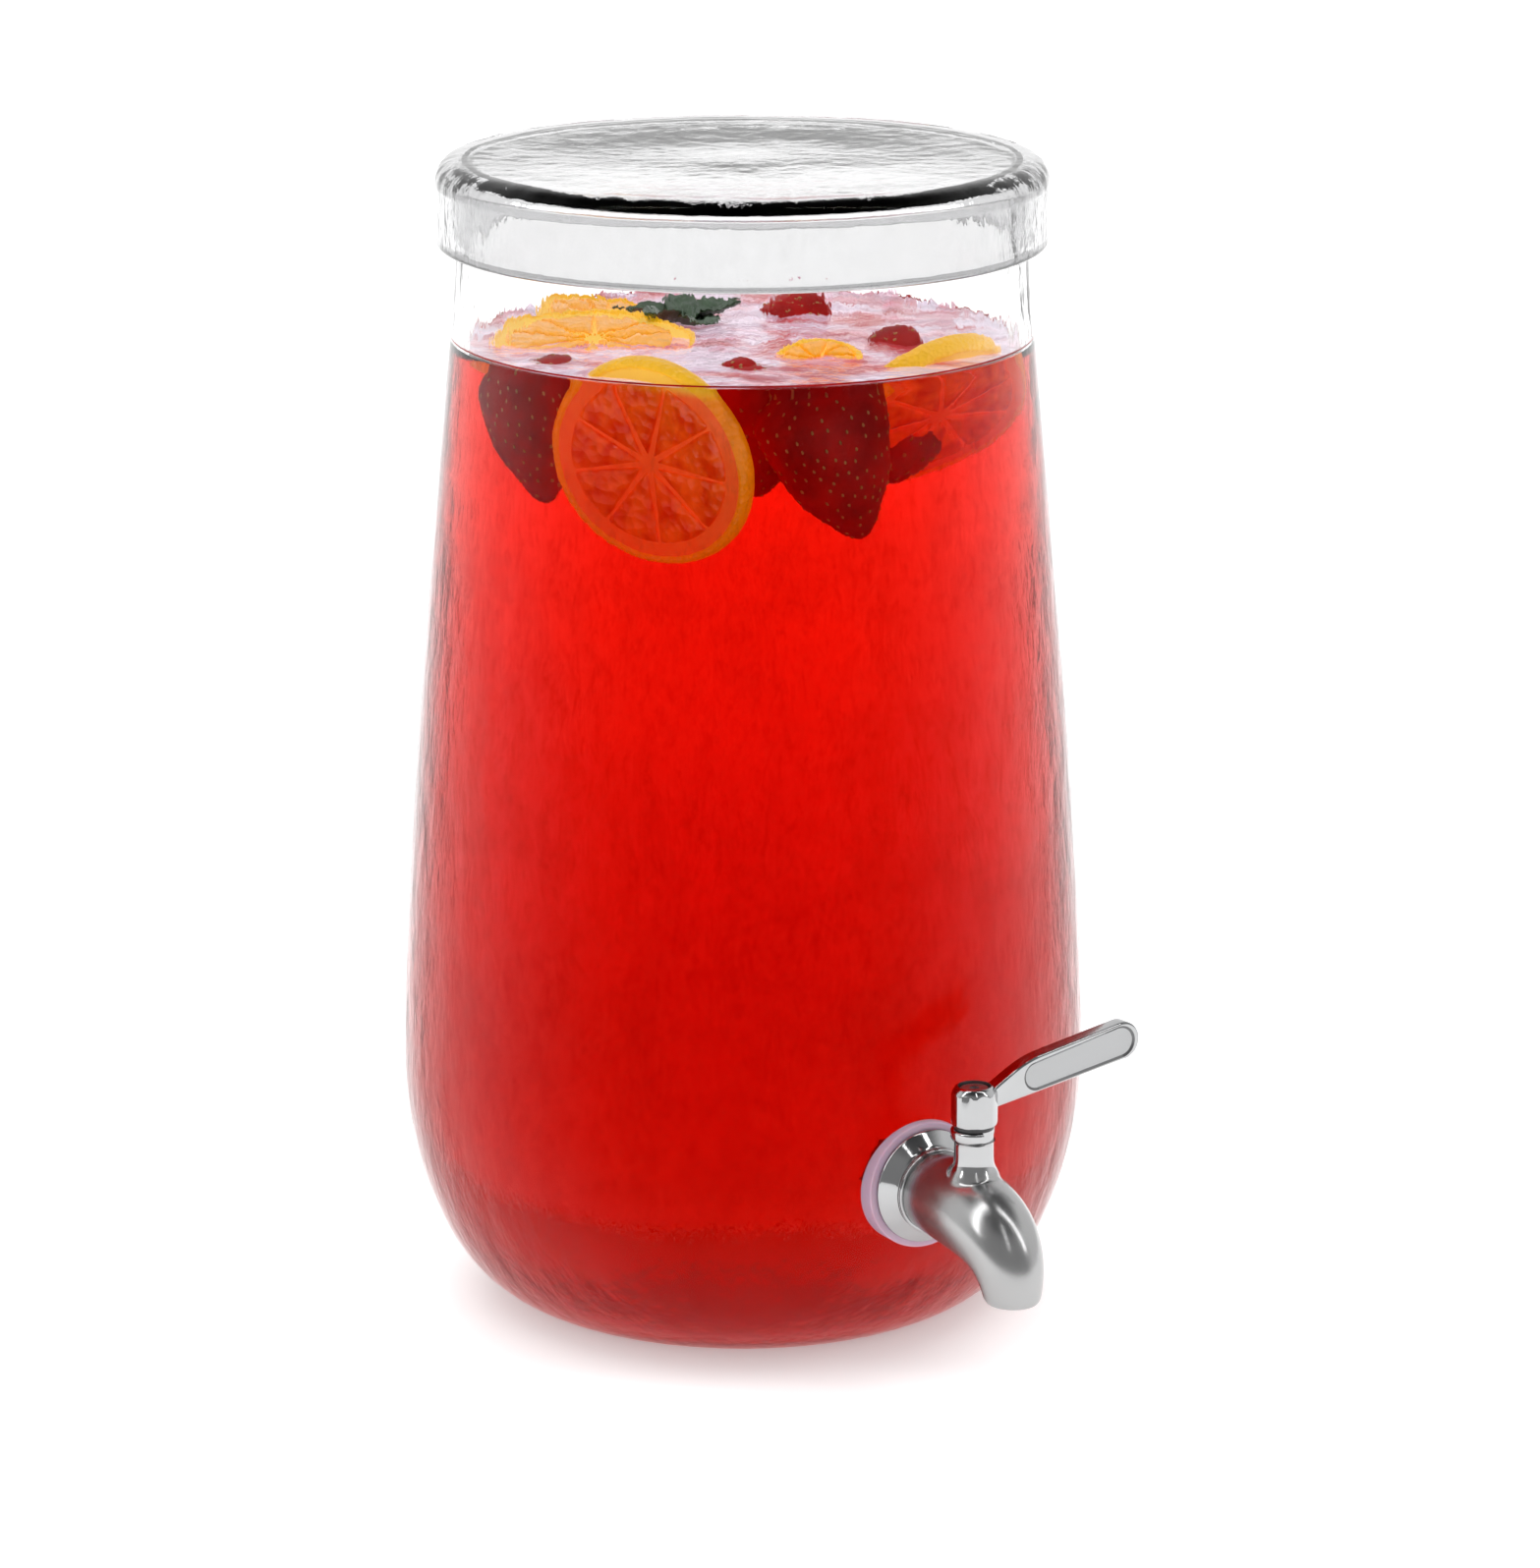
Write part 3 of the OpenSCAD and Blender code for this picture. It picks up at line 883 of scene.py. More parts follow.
def hammer_maker(glass):
    """Pushes a surface in and out along its normals by stretched noise, where 'hammer' says."""
    k = Maker("hammered_surface")
    base = k.input("Shell", "Geometry")
    depth = k.input("Depth", default=0.0003)
    width = k.input("Width", default=0.009)
    squeeze = k.input("Squeeze", default=0.5)
    shift = k.input("Seed", default=0.0)
    where = k.node("GeometryNodeInputPosition")
    xyz = k.node("ShaderNodeSeparateXYZ", {}, {"Vector": where})
    y = Wire(k, xyz.socket.node.outputs[1])
    z = Wire(k, xyz.socket.node.outputs[2])
    stretched = k.node(
        "ShaderNodeCombineXYZ", {}, {"X": xyz + shift, "Y": y + shift, "Z": z * squeeze}
    )
    ripple = k.node(
        "ShaderNodeTexNoise", {},
        {"Vector": stretched, "Scale": 1.0 / width, "Detail": 1.5, "Distortion": 0.5},
    )
    swell = k.node(
        "ShaderNodeTexNoise", {}, {"Vector": stretched, "Scale": 0.28 / width, "Detail": 0.0}
    )
    mask = k.node(
        "GeometryNodeInputNamedAttribute", {"data_type": "FLOAT"}, {"Name": "hammer"}
    )
    push = ((ripple - 0.5) + (swell - 0.5) * 0.8) * depth * 2.0 * mask
    normal = k.node("GeometryNodeInputNormal")
    offset = k.node(
        "ShaderNodeVectorMath", {"operation": "SCALE"}, {0: normal, "Scale": push}
    )
    moved = k.node("GeometryNodeSetPosition", {}, {"Geometry": base, "Offset": offset})
    return k.finish((moved, glass))


def mark_hammered(thing, weight):
    """Stores how strongly each point is hammered; weight takes (radius, x, y, z) arrays."""
    co = coordinates(thing)
    values = weight(np.hypot(co[:, 0], co[:, 1]), co[:, 0], co[:, 1], co[:, 2])
    attribute = thing.data.attributes.new("hammer", "FLOAT", "POINT")
    attribute.data.foreach_set("value", np.asarray(values, np.float32))


def fade(value, low, high):
    t = np.clip((value - low) / (high - low), 0, 1)
    return t * t * (3 - 2 * t)


class DISPENSER_OT_jar(bpy.types.Operator):
    """The hammered jar, drilled for the spigot"""

    bl_idname = "dispenser.jar"
    bl_label = "Jar"

    def execute(self, context):
        g = glass_settings()
        inner_rim = g.rim_radius - g.wall
        top = JAR_HIGH.z
        neck = [(g.rim_radius + (g.neck_radius - g.rim_radius) * (1 - t),
                 g.neck_height + (top - 0.0012 - g.neck_height) * t)
                for t in np.linspace(0, 1, 16)[1:]]
        rim = [(g.rim_radius - 0.0004, top - 0.0004), (g.rim_radius - 0.0013, top),
               (inner_rim + 0.0013, top), (inner_rim + 0.0004, top - 0.0004),
               (inner_rim, top - 0.0013)]
        rim += [(inner_rim + (g.neck_radius - g.rim_radius) * t,
                 top - 0.0013 - (top - 0.0013 - g.neck_height) * t)
                for t in (0.02, 0.05, 0.12, 0.25, 0.4, 0.55, 0.7, 0.85)]
        punt = [(0, 0.0012), (g.foot_radius - 0.012, 0.0012), (g.foot_radius - 0.009, 0.0003),
                (g.foot_radius - 0.0075, 0), (g.foot_radius - 0.004, 0)]
        outline = (punt + outer_outline(38, 130) + neck + rim
                   + inner_outline(18, 26)[::-1] + [(0, g.base)])
        shell = lathe("jar_shell", outline, 360)
        middle = g.rim_radius - g.wall / 2

        def weight(r, x, y, z):
            outside = np.interp(z, [p[1] for p in outer_outline(30, 60)],
                                [p[0] for p in outer_outline(30, 60)])
            skin = fade(r, outside - g.wall * 0.5, outside - g.wall * 0.2)
            skin = np.where(z > g.neck_height, fade(r, middle, middle + 0.001), skin)
            near_spigot = fade(np.hypot(x, z - SPIGOT_Z), 0.021, 0.030)
            near_spigot = np.where(y > 0, 1.0, near_spigot)
            strong = 2.2 - 1.4 * fade(z, 0.235, 0.285) + 1.5 * fade(z, 0.326, 0.334)
            return (strong * skin * near_spigot * fade(z, 0.002, 0.016)
                    * (1 - fade(z, top - 0.006, top - 0.002)))

        mark_hammered(shell, weight)
        glass = hammered_glass("hammered_jar_glass", (0.95, 0.95, 0.95), 0.000035, 1.34)
        jar = hammer_maker(glass).make(
            shell, "hammered_jar", Depth=g.hammer_depth, Width=g.hammer_size, Squeeze=0.45,
            Seed=3.0,
        )
        bpy.data.objects.remove(shell)
        hole = lathe("hole", [(0, 0.09), (0.0084, 0.09), (0.0084, 0.13), (0, 0.13)], 48, SPIGOT)
        drill(jar, hole)
        paint(soften(jar, 60), glass)
        settle(jar, BODY, "jar_glass", "jar")
        return {"FINISHED"}


class DISPENSER_OT_lid(bpy.types.Operator):
    """The lift-off lid"""

    bl_idname = "dispenser.lid"
    bl_label = "Lid"

    def execute(self, context):
        r, top, bottom = LID_HIGH.x, LID_HIGH.z, LID_LOW.z
        plate = JAR_HIGH.z
        inner = r - 0.0044
        dent = 0.0012
        edge = 0.007
        skirt = [(r - 0.0004, bottom + 0.0008)] + [
            (r, z) for z in np.linspace(bottom + 0.002, top - edge, 14)]
        round_edge = [(r - edge + edge * math.cos(a), top - edge + edge * math.sin(a))
                      for a in np.linspace(0, math.pi / 2, 10)[1:]]
        crown = [(x, top - dent * fade(0.085 - x, 0, 0.05) * (1 - 0.35 * fade(0.022 - x, 0, 0.020)))
                 for x in np.linspace(r - edge, 0, 62)[1:]]
        inside = ([(0, plate)] + [(x, plate) for x in np.linspace(0, inner - 0.003, 8)[1:]]
                  + [(inner - 0.001, plate - 0.0005), (inner, plate - 0.002)]
                  + [(inner, z) for z in np.linspace(plate - 0.004, bottom + 0.0015, 8)]
                  + [(inner + 0.0006, bottom + 0.0003), (inner + 0.0016, bottom),
                     (r - 0.0016, bottom)])
        shell = lathe("lid_shell", inside + skirt + round_edge + crown, 300)

        def weight(radius, x, y, z):
            outer_side = fade(radius, inner + 0.002, inner + 0.004)
            upper = fade(z, plate + 0.002, plate + 0.0035)
            return np.maximum(outer_side * 0.7, upper) * fade(z, bottom + 0.001, bottom + 0.005)

        mark_hammered(shell, weight)
        glass = hammered_glass("hammered_lid_glass", (0.74, 0.74, 0.745), 0.00004, 1.5)
        lid = hammer_maker(glass).make(
            shell, "hammered_lid", Depth=glass_settings().hammer_depth * 2.0,
            Width=glass_settings().hammer_size * 1.1, Squeeze=0.6, Seed=11.0,
        )
        bpy.data.objects.remove(shell)
        paint(soften(lid, 60), glass)
        settle(lid, "lid", "lid_glass", "lid")
        return {"FINISHED"}


# ---------------------------------------------------------------- the drink and what floats in it


class DISPENSER_OT_drink(bpy.types.Operator):
    """The drink and its rippled surface"""

    bl_idname = "dispenser.drink"
    bl_label = "Drink"

    def execute(self, context):
        g, level = glass_settings(), drink_settings().level
        spare = 0.00015
        wet = [p for p in inner_outline(30, 90, spare) if p[1] < level + 0.0008]
        wall_r = inner_radius(level)
        surface = [(x, level + 0.0016 * math.exp(-(wall_r - x) / 0.0016))
                   for x in np.concatenate([wall_r - np.linspace(0, 0.006, 9)[1:],
                                            np.linspace(wall_r - 0.01, 0, 48)])]
        drink = lathe("drink", [(0, g.base - spare)] + wet + surface, 220)
        co = coordinates(drink)
        r = np.hypot(co[:, 0], co[:, 1])
        calm = fade(wall_r - r, 0.001, 0.008) * (co[:, 2] > level - 0.0004)
        wave = np.array([noise.noise(Vector((x * 55, y * 55, 4.0))) for x, y, _ in co])
        co[:, 2] += 0.0007 * wave * calm
        place_coordinates(drink, co)
        paint(soften(drink, 80), drink_finish())
        settle(drink, BODY, "")
        self.skin(level, wall_r)
        # Painted shade: a thin dark-red ring in the strawberry finish stands in for the dark line where
        # the drink meets the glass
        edge = [(wall_r - 0.0003 + 0.0004 * math.cos(a), level + 0.0016 + 0.0003 * math.sin(a))
                for a in np.arange(10) * TURN / 10]
        ring = lathe("painted_meniscus_shade", edge, 200, loop=True)
        paint(soften(ring, 80), finish(berry_finish, "strawberry_flesh"))
        settle(ring, BODY, "")
        return {"FINISHED"}

    @staticmethod
    def skin(level, wall_r):
        """A thin, wavy sheet that shows how the light breaks on the drink's surface."""
        reach = wall_r - 0.0012
        over = [(x, level + 0.0013) for x in np.linspace(reach, 0, 60)]
        under = [(x, level + 0.0009) for x in np.linspace(0, reach, 60)]
        skin = lathe("drink_surface", under + over, 200)
        co = coordinates(skin)
        wave = np.array([noise.noise(Vector((x * 90, y * 90, 1.0))) for x, y, _ in co])
        co[:, 2] += 0.0006 * wave
        # Where the surface laps up the glass opposite the spigot
        lap = np.array([abs(noise.noise(Vector((x * 190, y * 190, 6.0)))) for x, y, _ in co])
        rim = fade(np.hypot(co[:, 0], co[:, 1]), reach - 0.004, reach)
        co[:, 2] += 0.0045 * lap * rim * fade(0.5 * co[:, 0] + 0.866 * co[:, 1], 0.005, 0.06)
        place_coordinates(skin, co)
        paint(soften(skin, 60), drink_skin_finish())
        settle(skin, BODY, "")


def wheel_maker(peel, pith, pulp):
    """A citrus wheel: a ring of peel, a disc of pith and a round of segments."""
    k = Maker("citrus_wheel")
    wedge = k.input("Segment", "Geometry")
    count = k.input("Segments", "Int", 9)
    radius = k.input("Radius", default=0.031)
    thick = k.input("Thickness", default=0.007)
    path = k.node("GeometryNodeCurvePrimitiveCircle", {}, {"Resolution": 96, "Radius": radius - 0.0018})
    section = k.node("GeometryNodeCurvePrimitiveCircle", {}, {"Resolution": 20, "Radius": 1.0})
    oval = k.node(
        "GeometryNodeTransform", {},
        {"Geometry": section, "Scale": k.node("ShaderNodeCombineXYZ", {},
                                              {"X": 0.0019, "Y": thick * 0.5, "Z": 1.0})},
    )
    ring = k.node("GeometryNodeCurveToMesh", {}, {"Curve": path, "Profile Curve": oval})
    disc = k.node(
        "GeometryNodeMeshCylinder", {},
        {"Vertices": 96, "Side Segments": 2, "Fill Segments": 8, "Radius": radius - 0.0024,
         "Depth": thick * 0.8},
    )
    spread = k.node(
        "GeometryNodeMeshCircle", {}, {"Vertices": count, "Radius": 0.0001}
    )
    spot = k.node("GeometryNodeInputPosition")
    turn = k.node("FunctionNodeAlignEulerToVector", {"axis": "X"}, {"Vector": spot})
    round_of = k.node(
        "GeometryNodeInstanceOnPoints", {},
        {"Points": spread, "Instance": wedge, "Rotation": turn},
    )
    return k.finish((ring, peel), (disc, pith), (round_of, pulp))


def wedge_mesh(radius, thick, segments):
    """One plump segment, wider towards the peel, with rounded corners."""
    half = TURN / segments / 2 * 0.975
    inner, outer = radius * 0.08, radius * 0.78
    rim = [(outer * math.cos(a), outer * math.sin(a)) for a in np.linspace(-half, half, 9)]
    outline = rounded([(inner, 0)] + [rim[0]] + rim[1:-1] + [rim[-1]],
                      [0.0008] + [0.0024] + [0] * 7 + [0.0024], 4)
    middle = np.mean(np.array(outline), axis=0)
    rings = [(1.0, 0.0), (1.0, 0.80), (0.95, 0.97), (0.80, 1.06), (0.5, 1.12), (0.2, 1.13)]
    layers = [(s, -h) for s, h in reversed(rings[1:])] + [(s, h) for s, h in rings]
    vertices, faces = [], []
    n = len(outline)
    for s, h in layers:
        for x, y in outline:
            p = middle + s * (np.array([x, y]) - middle)
            vertices.append((p[0], p[1], h * thick / 2))
    for i in range(len(layers) - 1):
        for j in range(n):
            m = (j + 1) % n
            faces.append((i * n + j, i * n + m, (i + 1) * n + m, (i + 1) * n + j))
    faces.append(tuple(range(n - 1, -1, -1)))
    faces.append(tuple(range((len(layers) - 1) * n, len(layers) * n)))
    return mesh_of("wedge", vertices, faces)


def facing(place, way, roll=0.0):
    """A matrix that puts a wheel's middle at place and its face towards way."""
    turn = Vector(way).to_track_quat("Z", "Y").to_matrix().to_4x4()
    return Matrix.Translation(place) @ turn @ Matrix.Rotation(roll, 4, "Z")


def on_wall(turn, height, depth):
    """A point at a depth inside the glass; turn is measured from the camera's side, in degrees."""
    a = bpy.context.scene.dispenser_stage.camera_azimuth + math.radians(turn)
    r = inner_radius(height) - depth
    return Vector((math.sin(a) * r, -math.cos(a) * r, height))


def keep_inside(thing):
    """Presses what would cross the glass flat against its inside."""
    rows = inner_outline(30, 60) + [(glass_settings().rim_radius - glass_settings().wall,
                                     JAR_HIGH.z)]
    co = coordinates(thing)
    r = np.hypot(co[:, 0], co[:, 1])
    limit = np.interp(co[:, 2], [z for _, z in rows], [w for w, _ in rows]) - 0.0006
    co[:, :2] *= np.minimum(1, limit / np.maximum(r, 1e-6))[:, None]
    place_coordinates(thing, co)
    return thing


def away_from_axis(turn, lift=0.0):
    a = bpy.context.scene.dispenser_stage.camera_azimuth + math.radians(turn)
    return Vector((math.sin(a), -math.cos(a), lift))


class DISPENSER_OT_citrus(bpy.types.Operator):
    """Citrus wheels in and on the drink"""

    bl_idname = "dispenser.citrus"
    bl_label = "Citrus wheels"

    def execute(self, context):
        d = drink_settings()
        peel = finish(peel_finish, "citrus_peel")
        pith = finish(pith_finish, "citrus_pith")
        pulp = finish(pulp_finish, "citrus_pulp")
        maker = wheel_maker(peel, pith, pulp)
        level = d.level
        # name, place, where the face looks, roll, scale
        wheels = (
            ("lemon_wheel_front", on_wall(-20, 0.2990, 0.0165), away_from_axis(-33, -0.22), 0.2, 1.0),
            ("lemon_wheel_right", on_wall(62, 0.3070, 0.0330), away_from_axis(44, -0.95), 0.9, 1.0),
            ("lemon_wheel_left", Vector((-0.047, 0.016, level - 0.001)),
             Vector((-0.05, -0.12, 1)), 0.4, 0.98),
            ("lemon_wheel_back", Vector((-0.024, 0.052, level - 0.001)),
             Vector((0.1, -0.2, 1)), 0.1, 0.66),
            ("lemon_wheel_middle", Vector((0.002, -0.045, level - 0.002)),
             Vector((-0.2, -0.2, 1)), 0.6, 0.42),
        )
        for name, place, way, roll, scale in wheels:
            radius = d.wheel_radius * scale
            base = object_of("wedge", wedge_mesh(radius, SLICE_THICKNESS, d.segments))
            wheel = maker.make(
                base, name, Segments=d.segments, Radius=radius, Thickness=SLICE_THICKNESS
            )
            bpy.data.objects.remove(base)
            wheel.data.transform(facing(place, way, roll))
            soften(keep_inside(wheel), 50)
            settle(wheel, BODY, "")
        return {"FINISHED"}


def strawberry_mesh(length, width, seed):
    """A strawberry body: a shouldered cone with a round tip, a little uneven."""
    rows, sides = 34, 44
    outline = []
    for i in range(rows + 1):
        t = i / rows
        r = width / 2 * (math.sin(math.pi * min(1, t * 0.5 + 0.0)) ** 0.62) * (1 - 0.16 * t**6)
        shoulder = math.sqrt(max(0.0, 1 - max(0, (t - 0.80) / 0.20) ** 2.2))
        outline.append((r * shoulder, length * t))
    outline[0] = (0, 0)
    outline[-1] = (0, length * 0.985)
    body = lathe("strawberry_body", outline, sides)
    co = coordinates(body)
    for i, p in enumerate(co):
        push = noise.noise(Vector(p) * 60 + Vector((seed, 0, 0))) * 0.0016
        r = math.hypot(p[0], p[1])
        if r > 1e-6:
            co[i, 0] += p[0] / r * push
            co[i, 1] += p[1] / r * push
    place_coordinates(body, co)
    return body


def berry_maker(flesh, seed_paint):
    """Scatters seeds, each in its own dimple, over a strawberry."""
    k = Maker("strawberry")
    body = k.input("Body", "Geometry")
    density = k.input("Density", default=90000.0)
    size = k.input("Seed size", default=0.0007)
    number = k.input("Seed", "Int", 1)
    scatter = k.node(
        "GeometryNodeDistributePointsOnFaces", {"distribute_method": "POISSON"},
        {"Mesh": body, "Distance Min": 0.0032, "Density Max": density, "Seed": number},
    )
    rotation = Wire(k, scatter.socket.node.outputs["Rotation"])
    grain = k.node("GeometryNodeMeshIcoSphere", {}, {"Radius": size, "Subdivisions": 1})
    flat = k.node("GeometryNodeTransform", {}, {"Geometry": grain, "Scale": (0.75, 1.25, 0.5)})
    seeds = k.node(
        "GeometryNodeInstanceOnPoints", {},
        {"Points": scatter, "Instance": flat, "Rotation": rotation},
    )
    return k.finish((body, flesh), (seeds, seed_paint))


class DISPENSER_OT_strawberries(bpy.types.Operator):
    """Strawberries hanging in the drink and breaking its surface"""

    bl_idname = "dispenser.strawberries"
    bl_label = "Strawberries"

    def execute(self, context):
        maker = berry_maker(finish(berry_finish, "strawberry_flesh"),
                            finish(seed_finish, "strawberry_seed"))
        level = drink_settings().level
        # name, tip, where the shoulders point, length, width
        berries = (
            ("strawberry_left", on_wall(-52, 0.279, 0.025), Vector((-0.20, 0.15, 1)), 0.048, 0.036),
            ("strawberry_centre", on_wall(30, 0.271, 0.0275), Vector((-0.34, -0.02, 1)), 0.055, 0.043),
            ("strawberry_behind", on_wall(4, 0.284, 0.040), Vector((0.05, 0.1, 1)), 0.042, 0.036),
            ("strawberry_right", on_wall(52, 0.284, 0.044), Vector((0.3, 0.5, 0.6)), 0.042, 0.038),
            ("strawberry_middle", Vector((0.016, -0.030, level - 0.011)),
             Vector((0.9, -0.1, 0.12)), 0.034, 0.028),
            ("strawberry_back", Vector((0.018, 0.030, level - 0.008)),
             Vector((0.8, 0.1, 0.1)), 0.034, 0.028),
            ("strawberry_pale", Vector((-0.046, -0.040, level - 0.009)),
             Vector((0.9, -0.1, 0.1)), 0.028, 0.022),
        )
        for number, (name, tip, way, length, width) in enumerate(berries):
            body = strawberry_mesh(length, width, number * 7.0)
            berry = maker.make(body, name, Seed=number + 3)
            bpy.data.objects.remove(body)
            berry.data.transform(facing(tip, way, 0.7 * number))
            soften(keep_inside(berry), 80)
            settle(berry, BODY, "")
        return {"FINISHED"}


def leaf_mesh(length, width, curl, seed):
    """A toothed leaf with a folded midrib."""
    rows, across = 22, 12
    vertices, faces = [], []
    for side in (0, 1):
        for i in range(rows + 1):
            t = i / rows
            half = width / 2 * math.sin(math.pi * t**0.8) ** 0.9 + 0.0002
            half *= 1 + 0.10 * (i % 2)
            for j in range(across + 1):
                u = j / across * 2 - 1
                x, y = length * t, half * u
                z = abs(u) * half * 0.35 + curl * math.sin(t * 2.4) * length
                z += 0.0012 * noise.noise(Vector((x * 160, y * 160, seed)))
                vertices.append((x, y, z - side * 0.0004))
    n = (rows + 1) * (across + 1)
    for i in range(rows):
        for j in range(across):
            a = i * (across + 1) + j
            quad = (a, a + across + 1, a + across + 2, a + 1)
            faces.append(quad)
            faces.append(tuple(n + v for v in reversed(quad)))
    rim = [j for j in range(across + 1)]
    rim += [i * (across + 1) + across for i in range(1, rows + 1)]
    rim += [rows * (across + 1) + j for j in range(across - 1, -1, -1)]
    rim += [i * (across + 1) for i in range(rows - 1, 0, -1)]
    for a, b in zip(rim, rim[1:] + rim[:1]):
        faces.append((a, b, n + b, n + a))
    mesh = mesh_of("leaf", vertices, faces)
    shape = bmesh.new()
    shape.from_mesh(mesh)
    bmesh.ops.recalc_face_normals(shape, faces=shape.faces)
    shape.to_mesh(mesh)
    shape.free()
    return mesh


class DISPENSER_OT_leaves(bpy.types.Operator):
    """Leaves on the drink's surface"""

    bl_idname = "dispenser.leaves"
    bl_label = "Leaves"

    def execute(self, context):
        level = drink_settings().level
        paint_leaf = finish(leaf_finish, "mint_leaf")
        root = Vector((-0.002, 0.034, level + 0.001))
        for number, (turn, lift, length) in enumerate((
            (10, 0.15, 0.022), (75, 0.30, 0.018), (140, 0.12, 0.022), (200, 0.25, 0.020),
            (265, 0.12, 0.018), (320, 0.35, 0.018),
        )):
            leaf = object_of(f"leaf_{number}", leaf_mesh(length, length * 0.55, 0.05, number))
            a = math.radians(turn)
            leaf.data.transform(
                Matrix.Translation(root + Vector((math.cos(a), math.sin(a), 0)) * 0.002)
                @ Matrix.Rotation(a, 4, "Z") @ Matrix.Rotation(-lift, 4, "Y")
            )
            paint(soften(leaf, 60), paint_leaf)
            settle(leaf, BODY, "")
        return {"FINISHED"}


# ---------------------------------------------------------------- the spigot


class DISPENSER_OT_gaskets(bpy.types.Operator):
    """The two silicone gaskets, cut to the curve of the glass"""

    bl_idname = "dispenser.gaskets"
    bl_label = "Gaskets"

    def execute(self, context):
        paint_gasket = finish(silicone_finish, "pink_silicone")
        front = -GASKET_LOW.y
        outer = self.ring("gasket_outside", GASKET_HIGH.x, 0.0084, 0.104, front)
        outline = [(0, 0)] + outer_outline(40, 80)[1:] + [(0, CUTTER_TOP)]
        solid = lathe("glass_outside", outline, 256)
        drill(outer, solid)
        paint(soften(outer, 40), paint_gasket)
        settle(outer, BODY, "silicone", "outer_gasket")
        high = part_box("inner_gasket")[1]
        inner = self.ring("gasket_inside", high.x, 0.0082, -high.y, 0.116)
        outline = [(0, glass_settings().base)] + inner_outline(40, 80) + [(0, CUTTER_TOP)]
        cavity = lathe("glass_inside", outline, 256)
        drill(inner, cavity, "INTERSECT")
        paint(soften(inner, 40), paint_gasket)
        settle(inner, BODY, "silicone", "inner_gasket")
        return {"FINISHED"}

    @staticmethod
    def ring(name, outer_r, inner_r, start, end):
        corners = [(inner_r, start), (outer_r, start), (outer_r, end), (inner_r, end)]
        return lathe(name, rounded(corners, [0, 0, 0.0006, 0.0004], 4), 160, SPIGOT, loop=True)


class DISPENSER_OT_flange(bpy.types.Operator):
    """The polished flange with its grooved collar"""

    bl_idname = "dispenser.flange"
    bl_label = "Flange"

    def execute(self, context):
        back, front, r = -FLANGE_HIGH.y, -FLANGE_LOW.y, FLANGE_HIGH.x
        cone, collar_s, collar = back + 0.0014, back + 0.0050, 0.0142
        bead = 0.0005
        corners = [(0.00805, back), (r - 0.0003, back), (r, back + 0.0003), (r, cone),
                   (collar + 0.0004, collar_s)]
        radii = [0, 0.0003, 0.0003, 0.0005, 0.0004]
        for groove in (1, 3):
            s = collar_s + groove * bead
            corners += [(collar, s), (collar - bead, s), (collar - bead, s + bead),
                        (collar, s + bead)]
            radii += [0.00015] * 4
        corners += [(collar - 0.0002, front - 0.0001), (collar - 0.0006, front), (0.00805, front)]
        radii += [0.0002, 0.0002, 0]
        flange = lathe("flange_ring", rounded(corners, radii, 5), 200, SPIGOT, loop=True)
        paint(soften(flange, 30), finish(polished_finish, "mirror_polish"))
        settle(flange, BODY, "polished_steel", "flange")
        return {"FINISHED"}


def spout_axis():
    start, mouth = -SPOUT_HIGH.y, -STEM_Y + MOUTH_REACH
    return [(start, 0), (start + 0.019, 0), (mouth, 0.0015), (mouth, -MOUTH_DROP)]


def horn(name, radius_at, rows, sides, ends=(0.0, 1.0)):
    """A tube along the spout's axis, closed at both ends."""
    axis = spout_axis()
    vertices, faces = [], []
    for i in range(rows + 1):
        t = ends[0] + (ends[1] - ends[0]) * i / rows
        centre, way = cubic(axis, min(max(t, 0), 1)), cubic_way(axis, min(max(t, 0), 1))
        centre = centre + way * (t - min(max(t, 0), 1)) * 0.05
        r = radius_at(t)
        for j in range(sides):
            a = TURN * j / sides
            vertices.append((r * math.cos(a), centre[1] + r * math.sin(a) * way[0],
                             centre[0] - r * math.sin(a) * way[1]))
    for i in range(rows):
        for j in range(sides):
            m = (j + 1) % sides
            faces.append((i * sides + j, i * sides + m, (i + 1) * sides + m, (i + 1) * sides + j))
    faces.append(tuple(range(sides - 1, -1, -1)))
    faces.append(tuple(range(rows * sides, (rows + 1) * sides)))
    mesh = mesh_of(name, vertices, faces)
    mesh.transform(SPIGOT)
    return object_of(name, mesh)


